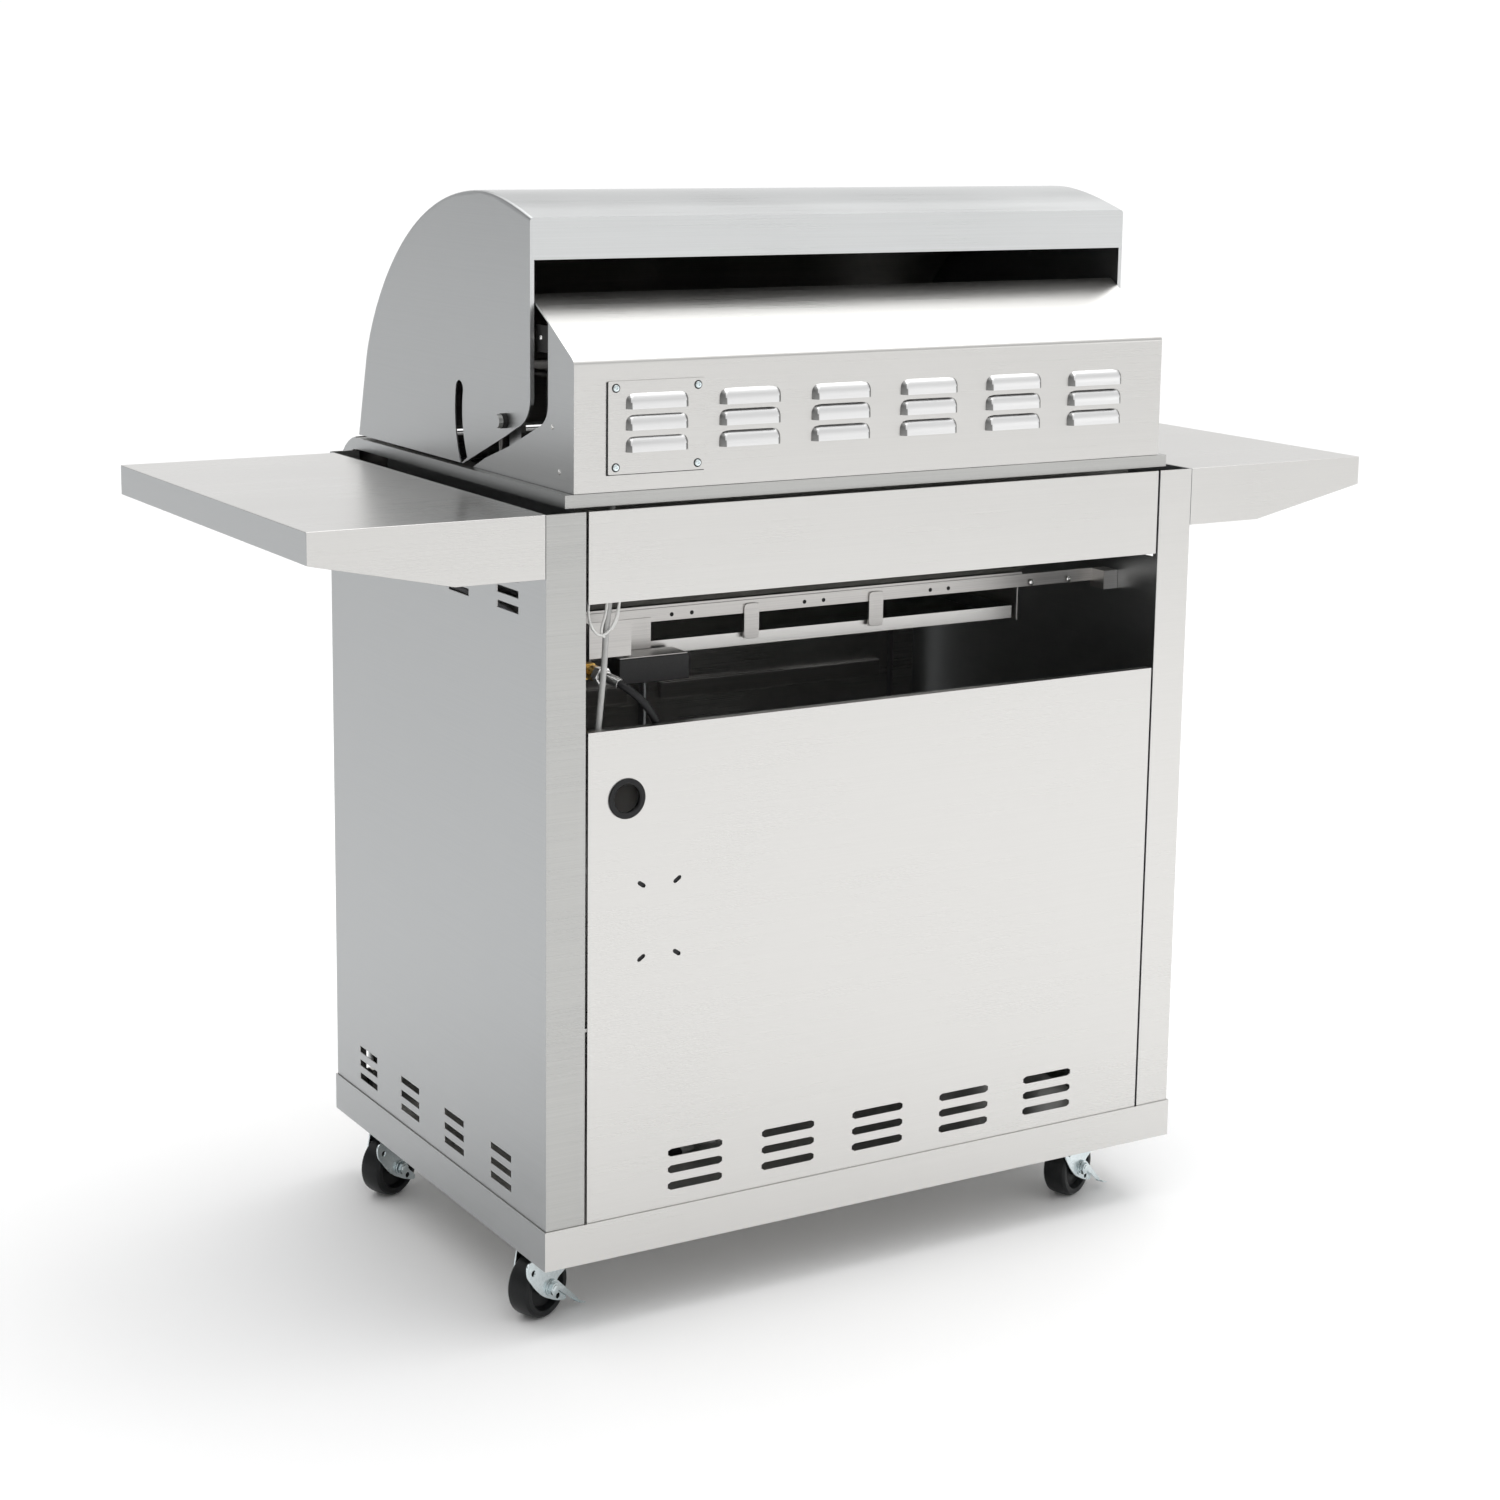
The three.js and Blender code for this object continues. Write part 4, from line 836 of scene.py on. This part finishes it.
def build_thermometer():
    """A round gauge on the hood's front; its own axis is -Y before it is tilted to the skin."""
    turned = gauge_matrix()
    rim = [(0, -1.7), (34, -1.7), (36, -3), (36, -9), (34.5, -11.6), (31.5, -11.9), (30.5, -9), (0, -8.8)]
    bezel = Shape().lathe("Y", 0, 0, rim, 48)
    bezel.lathe("Y", 0, 0, [(0, 57), (2.6, 57), (3.5, 55), (3.5, 0), (0, 0)], 16)
    bezel.prism("Y", ring_points(11, 6), 34, 40)
    piece(
        "gauge_bezel", bezel.moved(turned), "hood", POLISHED, 0.3,
        replaces=["hood_thermometer"], clean=False,
    )
    face = Shape().lathe("Y", 0, 0, [(0, -8.6), (30.2, -8.6), (30.2, -9.3), (0, -9.3)], 48)
    fine_piece("gauge_face", face.moved(turned), "hood", DIAL_WHITE)
    marks = Shape()
    for i in range(25):
        angle = math.radians(-225 + 270 * i / 24)
        long, half = (6, 0.6) if i % 4 == 0 else (3.4, 0.3)
        c, s = math.cos(angle), math.sin(angle)
        corners = ((28 - long, -half), (28, -half), (28, half), (28 - long, half))
        outline = [(r * c - w * s, r * s + w * c) for r, w in corners]
        marks.prism("Y", outline, -9.7, -9.25)
    marks.lathe("Y", 0, 0, [(0, -9.2), (3, -9.2), (3, -10.6), (0, -10.8)], 20)
    fine_piece("gauge_marks", marks.moved(turned), "hood", BLACK_PLASTIC)
    c, s = math.cos(math.radians(-215)), math.sin(math.radians(-215))
    hand = [(-6 * c - 1 * s, -6 * s + 1 * c), (-6 * c + 1 * s, -6 * s - 1 * c), (24 * c, 24 * s)]
    needle = Shape().prism("Y", hand, -10.4, -9.9).moved(turned)
    fine_piece("gauge_hand", needle, "hood", MARK_RED)


def build_hood_handle():
    y, z, half = -345, 1043, 340
    tube = Shape().lathe("X", y, z, [
        (0, -half), (10.5, -half), (12.5, -half + 2), (12.5, -half + 10), (11.6, -half + 11),
        (11.6, half - 11), (12.5, half - 10), (12.5, half - 2), (10.5, half), (0, half),
    ], 32)
    posts = Shape()
    for x in (-290, 290):
        lug = rounded([(y - 6, z - 11), (-274.2, z - 11), (-269.4, z + 11), (y - 6, z + 11)], [8, 0, 0, 8])
        posts.prism("X", lug, x - 9, x + 9)
    piece("handle_tube", tube, "hood", POLISHED, 0.3, replaces=["hood_handle"])
    piece("handle_posts", posts, "hood", POLISHED, 1.5, 3)


build_hood()
build_pivot_screws()
build_thermometer()
build_hood_handle()


# ---- Front: knobs, button, door handles ----
def build_knob(index):
    x, z, panel, number = KNOB_X[index], KNOB_Z, PANEL_FACE, index + 1
    knob = Shape().lathe("Y", x, z, [
        (0, -366.2), (19, -366.2), (22, -365.2), (23.4, -362), (24.4, -350), (25, -348), (25, -344.4),
        (23.5, -344), (0, -344),
    ], 48)
    grip = rounded([(x - 5.6, z - 22.4), (x + 5.6, z - 22.4), (x + 5.6, z + 22.4), (x - 5.6, z + 22.4)], 4.5)
    knob.prism("Y", grip, -377.6, -364)
    dial = f"dial_{number}"
    piece(f"dial_knob_{number}", knob, dial, POLISHED, 0.9, 3, replaces=[f"knob_{number}"])
    pointer = Shape().box(x - 0.9, x + 0.9, -377.95, -377.4, z + 6, z + 20)
    fine_piece(f"knob_pointer_{number}", pointer, dial, MARK_RED)
    rim = [(26.5, panel), (34, panel), (34.6, -338.8), (33.5, -340.6), (28, -341.8), (26.5, -341)]
    ring = Shape().lathe("Y", x, z, rim, 48)
    fine_piece(f"knob_bezel_{number}", ring, "cart", POLISHED)
    ticks = Shape()
    for i in range(9):
        angle = math.radians(90 - 26.25 * i)
        half = 1.0 if i in (0, 8) else 0.5
        c, s = math.cos(angle), math.sin(angle)
        corners = ((37, -half), (41, -half), (41, half), (37, half))
        outline = [(x + r * c - w * s, z + r * s + w * c) for r, w in corners]
        ticks.prism("Y", outline, panel - 0.25, panel + 0.2)
    fine_piece(f"knob_ticks_{number}", ticks, "cart", BLACK_PLASTIC)


def build_button_ring():
    rim = [(9.8, PANEL_FACE), (15, PANEL_FACE), (15, -339.6), (13.5, -340.8), (9.8, -340.8)]
    ring = Shape().lathe("Y", -KNOB_X[-1], KNOB_Z, rim, 32)
    fine_piece("button_bezel", ring, "cart", POLISHED)


def build_door_handle(side, word):
    x, y, low, high = side * 42, -345, 430, 700
    bar = Shape().lathe("Z", x, y, [
        (0, low), (5.6, low), (7, low + 1.6), (7, low + 6), (6.5, low + 6.6),
        (6.5, high - 6.6), (7, high - 6), (7, high - 1.6), (5.6, high), (0, high),
    ], 28)
    for z in (low + 30, high - 30):
        bar.lathe("Y", x, z, [(0, y + 2), (5, y + 2), (5, -306), (7.5, -303), (7.5, -300.2), (0, -300.2)], 20)
    body, node_name = f"{word}_door", f"door_handle_{word}"
    piece(f"{word}_door_bar", bar, body, POLISHED, 0.3, replaces=[node_name])


for knob_index in range(len(KNOB_X)):
    build_knob(knob_index)
build_button_ring()
build_door_handle(-1, "left")
build_door_handle(1, "right")


# ---- Casters ----
CASTERS = {
    "rear_right": (CASTER_X, CASTER_Y, True), "rear_left": (-CASTER_X, CASTER_Y, True),
    "front_right": (CASTER_X, -CASTER_Y, False), "front_left": (-CASTER_X, -CASTER_Y, False),
}


def build_caster(name, x, y, braked):
    turn = Matrix.Translation((x, y, 0)) @ Matrix.Rotation(HEADING, 4, "Z")
    trail, radius = WHEEL["trail"], WHEEL["radius"]
    profile = [
        (4.3, -14.6), (10, -14.6), (11, -13.6), (12, -9), (25, -8), (27.5, -13), (28.5, -15), (31, -15.8),
        (34.5, -15.4), (37, -12.8), (37.9, -8), (38, 0),
    ]
    profile += [(r, -t) for r, t in reversed(profile[:-1])]
    wheel = Shape().lathe("Y", trail, radius, profile, 56)
    body, node_name = f"wheel_{name}", f"caster_wheel_{name}"
    fine_piece(body, wheel.moved(turn), body, WHEEL_RUBBER, [node_name])

    cheek = rounded([
        (-24, 97), (44, 97), (56, 83.5), (84, 79), (84, 64), (70, 45), (56, 31.5), (32, 18.5),
        (15, 13.5), (13, 19), (26, 31), (32, 44), (14, 52), (-10, 74), (-24, 90),
    ], [0, 0, 3, 6, 8, 8, 8, 8, 5, 5, 5, 8, 5, 6, 5], 4)
    plain = rounded([
        (-24, 97), (44, 97), (56, 80), (62, 56), (56, 38), (42, 26), (28, 26), (18, 44), (-10, 74), (-24, 90),
    ], [0, 0, 6, 8, 8, 8, 8, 8, 6, 5], 4)
    plates = Shape().prism("Y", cheek, 17.9, 20).prism("Y", plain, -20, -17.9)
    fork = make_object(f"fork_{name}_plates", plates)
    holes = Shape().bar("Y", -24, 24, 72.5, 65.5, 3.6, 20).bar("Y", -24, 24, 28.5, 23.5, 3.4, 20)
    carve(fork, holes)
    for v in fork.data.vertices:
        local = Vector(v.co) / MM - Vector((0, Y_SHIFT, 0))
        v.co = at(*(turn @ local))
    finish_piece(fork, f"fork_{name}", ZINC, 0.6, 2, replaces=[f"caster_fork_{name}"])

    parts = Shape().box(-24, 44, -20, 20, 95, 97)
    parts.lathe("Z", 0, 0, [(0, 96), (17, 96), (21, 97.5), (21, 99), (17, 100.8), (0, 101)], 32)
    parts.lathe("Z", 0, 0, [(0, 88), (8, 88), (9, 89.5), (9, 93), (7, 95.5), (0, 95.5)], 24)
    parts.bar("Y", -26, 26, trail, radius, 4, 16)
    for side in (-1, 1):
        washer = ((0, 20.2), (9.6, 20.2), (9.6, 21.4), (0, 21.6))
        parts.lathe("Y", trail, radius, [(r, side * t) for r, t in washer], 24)
        parts.prism("Y", ring_points(7.8, 6, trail, radius), *sorted((side * 22.6, side * 27)))
        bolt_end = ((0, 26.8), (5, 26.8), (4.4, 28.2), (0, 28.6))
        parts.lathe("Y", trail, radius, [(r, side * t) for r, t in bolt_end], 20)
    for side in (-1, 1):
        rib = [(-16, 90), (36, 90), (46, 60), (40, 60), (32, 82), (-12, 82)]
        parts.prism("Y", rounded(rib, 3), *sorted((side * 19.6, side * 20.9)))
    piece(f"fork_{name}_hardware", parts.moved(turn), f"fork_{name}", ZINC, 0.4, 2)

    if braked:
        arm = rounded([
            (46, 45), (40, 48), (34, 46), (-4, 10.4), (-4.5, 7.6), (-1, 6.8), (36, 36), (43, 30), (50, 36),
        ], [3, 3, 3, 1, 1, 1, 4, 4, 4])
        lever = Shape().prism("Y", arm, 21.7, 23.4)
        lever.prism("Y", rounded([(-7, 7), (-6, 5.8), (3, 9), (2, 10.4)], 0.5), 21.7, 33)
        piece(
            f"brake_{name}_lever", lever.moved(turn), f"brake_{name}", ZINC, 0.4, 2,
            replaces=[f"caster_brake_{name}"],
        )


for caster_name, facts in CASTERS.items():
    build_caster(caster_name, *facts)


# ---- Inside the cooking box ----
def build_warming_rack():
    rack = Shape()
    z = 1082
    for y in (20, 170):
        rack.tube([(-372, y, z), (372, y, z)], 3.6, 14)
    for side in (-1, 1):
        x = side * 368
        rack.tube([(x, 16, z), (x, 174, z)], 3.6, 14)
        for y in (34, 156):
            rack.tube([(x, y, 927), (x, y, z)], 3.6, 14)
    for i in range(13):
        y = 32 + 126 * i / 12
        rack.tube([(-368, y, z), (368, y, z)], 1.6, 8)
    fine_piece("rack_wires", rack, "cart", INNER_STEEL, ["warming_rack"])


def build_flame_tamers():
    """An inverted trough over each burner that spreads the heat and keeps fat off the burner."""
    shape = Shape()
    for x in BURNER_X:
        outline = [(x - 32, 890), (x, 912), (x + 32, 890), (x + 32, 888.6), (x, 910.4), (x - 32, 888.6)]
        shape.prism("Y", outline, -238, 206)
        for end in (-238, 204.8):
            shape.prism("Y", [(x - 30, 889), (x + 30, 889), (x, 911)], end, end + 1.2)
    piece("flame_tamers", shape, "cart", INNER_STEEL, 0.4)


# Burner ports drawn as black discs on the burners' sides: painted shade in the holes.
def build_burner_ports():
    shape = Shape()
    for x in BURNER_X:
        for side in (-1, 1):
            face = x + side * 20
            for i in range(28):
                y = -215 + i * 15
                shape.bar("X", *sorted((face - side * 0.3, face + side * 0.12)), y, 880, 1.1, 8)
    fine_piece("burner_ports", shape, "cart", PAINTED_SHADE)


def build_rear_burner_face():
    shape = Shape().box(-238.5, 238.5, 249.5, 252.2, 1001.5, 1070.5)
    piece("rear_burner_tile", shape, "cart", CERAMIC, 0.4)
    guard = Shape()
    for z in (1012, 1036, 1060):
        guard.tube([(-244, 246.4, z), (244, 246.4, z)], 1.8, 10)
    for i in range(9):
        guard.tube([(-220 + 55 * i, 246.4, 1003), (-220 + 55 * i, 246.4, 1069)], 1.4, 8)
    fine_piece("rear_burner_guard", guard, "cart", POLISHED)


build_warming_rack()
build_flame_tamers()
build_burner_ports()
build_rear_burner_face()


# ---- Cabinet details ----
def build_grommet():
    ring = Shape().lathe("Y", *CABLE_HOLE, [
        (16.5, 296.2), (20.5, 296.2), (20.5, 300.1), (23, 300.2), (23.2, 301.2), (22, 302), (18, 302),
        (16.5, 301),
    ], 48)
    fine_piece("hole_bush", ring, "cart", RUBBER, ["cable_grommet"])


def build_rail_details():
    """Punched hole pairs, drawn as black discs of painted shade, and rounded straps on the rails that the
    service opening shows.
    """
    holes = Shape()
    face = 137.3
    for x in (-184, 0, 184):
        for dx in (-13.6, 13.6):
            holes.bar("Y", face - 0.2, face + 0.15, x + dx, 791, 2.6, 16)
    fine_piece("rail_holes", holes, "cart", PAINTED_SHADE)
    straps = Shape()
    for x in (-89, 89):
        outline = rounded([(x - 10.4, 753), (x + 10.4, 753), (x + 10.4, 796), (x - 10.4, 796)], 6)
        straps.prism("Y", outline, 137.6, 139.6)
    piece("rail_straps", straps, "cart", INNER_STEEL, 0.5)
    screws = [("+Y", x, 139.2, z) for x, z in ((-324, 789), (-383, 789), (324, 789), (383, 789))]
    rivets("bracket_screws", "cart", POLISHED, screws, 4, 2.2)
    strip = Shape().box(199, 288, 140, 178, 752, 753.2)
    piece("module_lid", strip, "cart", INNER_STEEL, 0.3)


def build_cabinet_screws():
    places = []
    for side, direction in ((1, "+X"), (-1, "-X")):
        places.append((direction, side * 403.4, 233, 1033))
        places.append((direction, side * 403.4, 250, 985))
    rivets("cheek_screws", "cart", POLISHED, places, 3.2, 0.9)
    tabs, screws = Shape(), []
    # Brackets behind the cheeks' front edges, coloured black as painted shade for the shaded band between
    # hood and cheek.
    for side, direction in ((1, "+X"), (-1, "-X")):
        tabs.box(*sorted((side * 398.5, side * 399.7)), 186, 221.5, 1112, 1142)
        screws.append((direction, side * 399.7, 198.5, 1128))
    piece("cheek_tabs_painted_shade", tabs, "cart", PAINTED_SHADE, 0.3)
    rivets("tab_screws", "cart", POLISHED, screws, 3.0, 1.8)


def build_door_inners():
    """Two stiffening rails and a magnet catch inside each door."""
    for side, word in ((-1, "left"), (1, "right")):
        rail = Shape()
        for z in (230, 596):
            x0, x1 = sorted((side * 26, side * 380))
            outline = [(-298.6, z - 12), (-289, z - 12), (-289, z + 12), (-298.6, z + 12)]
            rail.prism("X", rounded(outline, 2), x0, x1)
        piece(f"{word}_door_rails", rail, f"{word}_door", INNER_STEEL, 0.5)
        catch = Shape().box(*sorted((side * 12, side * 30)), -297, -285.5, 700, 728)
        piece(f"{word}_door_catch", catch, f"{word}_door", BLACK_PLASTIC, 1)


def build_transformer_ribs():
    ribs = Shape()
    for i in range(7):
        z = 440 + 12 * i
        ribs.prism("Z", rounded([(268, 254.6), (339, 254.6), (339, 257), (268, 257)], 1), z, z + 5)
    piece("transformer_ribs", ribs, "cart", BLACK_PLASTIC, 0.4)


def build_extra_wires():
    """Two more thin leads that hang beside the spark wire and run back up behind the apron."""
    leads = Shape()
    for route in (
        [
            (360, 281, 868), (360, 281, 845), (362.5, 281, 828), (366.5, 281, 815), (367, 281, 806),
            (363, 281, 803),
        ],
        [(345, 280, 868), (344.4, 280, 846), (345.4, 280, 830), (349, 280, 818), (354, 280, 811)],
    ):
        leads.tube(catmull_rom(route, 6), 1.5, 10)
    fine_piece("spark_leads", leads, "cart", WIRE_WHITE)


build_grommet()
build_rail_details()
build_cabinet_screws()
build_door_inners()
build_transformer_ribs()
build_extra_wires()


# ---- Floor, light and surroundings ----
def build_stage():
    """A plain pale floor."""
    mesh = bpy.data.meshes.new("floor")
    mesh.from_pydata([(-30, -30, 0), (30, -30, 0), (30, 30, 0), (-30, 30, 0)], [], [[0, 1, 2, 3]])
    floor = bpy.data.objects.new("floor", mesh)
    bpy.context.scene.collection.objects.link(floor)
    material, tree, shader = new_material("floor_paint", (0.97, 0.97, 0.97), 0.0, 0.7)
    place = node(tree, "ShaderNodeTexCoord").outputs["Object"]
    cloud = node(tree, "ShaderNodeTexNoise", [("Vector", place), ("Scale", 2.0)]).outputs[0]
    colour = mix_colour(tree, cloud, (0.965, 0.965, 0.965), (0.975, 0.975, 0.975))
    tree.links.new(colour, shader.inputs["Base Color"])
    mesh.materials.append(material)


def add_area(name, place, target, size, power, colour=(1, 1, 1)):
    data = bpy.data.lights.new(name, "AREA")
    data.shape, data.size, data.size_y = "RECTANGLE", size[0], size[1]
    data.energy, data.color = power, colour
    light = bpy.data.objects.new(name, data)
    light.location = place
    light.rotation_euler = (Vector(target) - Vector(place)).to_track_quat("-Z", "Y").to_euler()
    bpy.context.scene.collection.objects.link(light)


def build_world():
    """White surroundings, a little darker low down and towards the object's +X side."""
    world = bpy.data.worlds.new("studio")
    bpy.context.scene.world = world
    world.use_nodes = True
    tree = world.node_tree
    background = tree.nodes["Background"]
    direction = node(tree, "ShaderNodeTexCoord").outputs["Generated"]
    parts = node(tree, "ShaderNodeSeparateXYZ", [(0, direction)])
    sideways = map_range(tree, parts.outputs[0], 1.04, 0.5, 0.0, 0.8)
    falling = map_range(tree, parts.outputs[2], 1.0, 0.62, 0.2, 0.4)
    rising = map_range(tree, parts.outputs[2], 0.0, 1.05, 0.5, 0.85)
    upward = node(tree, "ShaderNodeMath", [(0, falling), (1, rising)], operation="ADD").outputs[0]
    strength = node(tree, "ShaderNodeMath", [(0, sideways), (1, upward)], operation="MULTIPLY").outputs[0]
    tree.links.new(strength, background.inputs["Strength"])
    background.inputs["Color"].default_value = (1, 1, 1, 1)


build_stage()
build_world()
add_area("top_light", (-1.0, -0.1, 3.4), (-1.0, -0.1, 0), (2.8, 2.8), 34)
add_area("rear_light", (-2.6, 2.9, 1.8), (-2.6, 2.9, 0), (1.2, 1.2), 8)

scene = bpy.context.scene
scene.view_settings.view_transform = "Standard"
scene.view_settings.look = "None"
scene.view_settings.exposure = 0.0
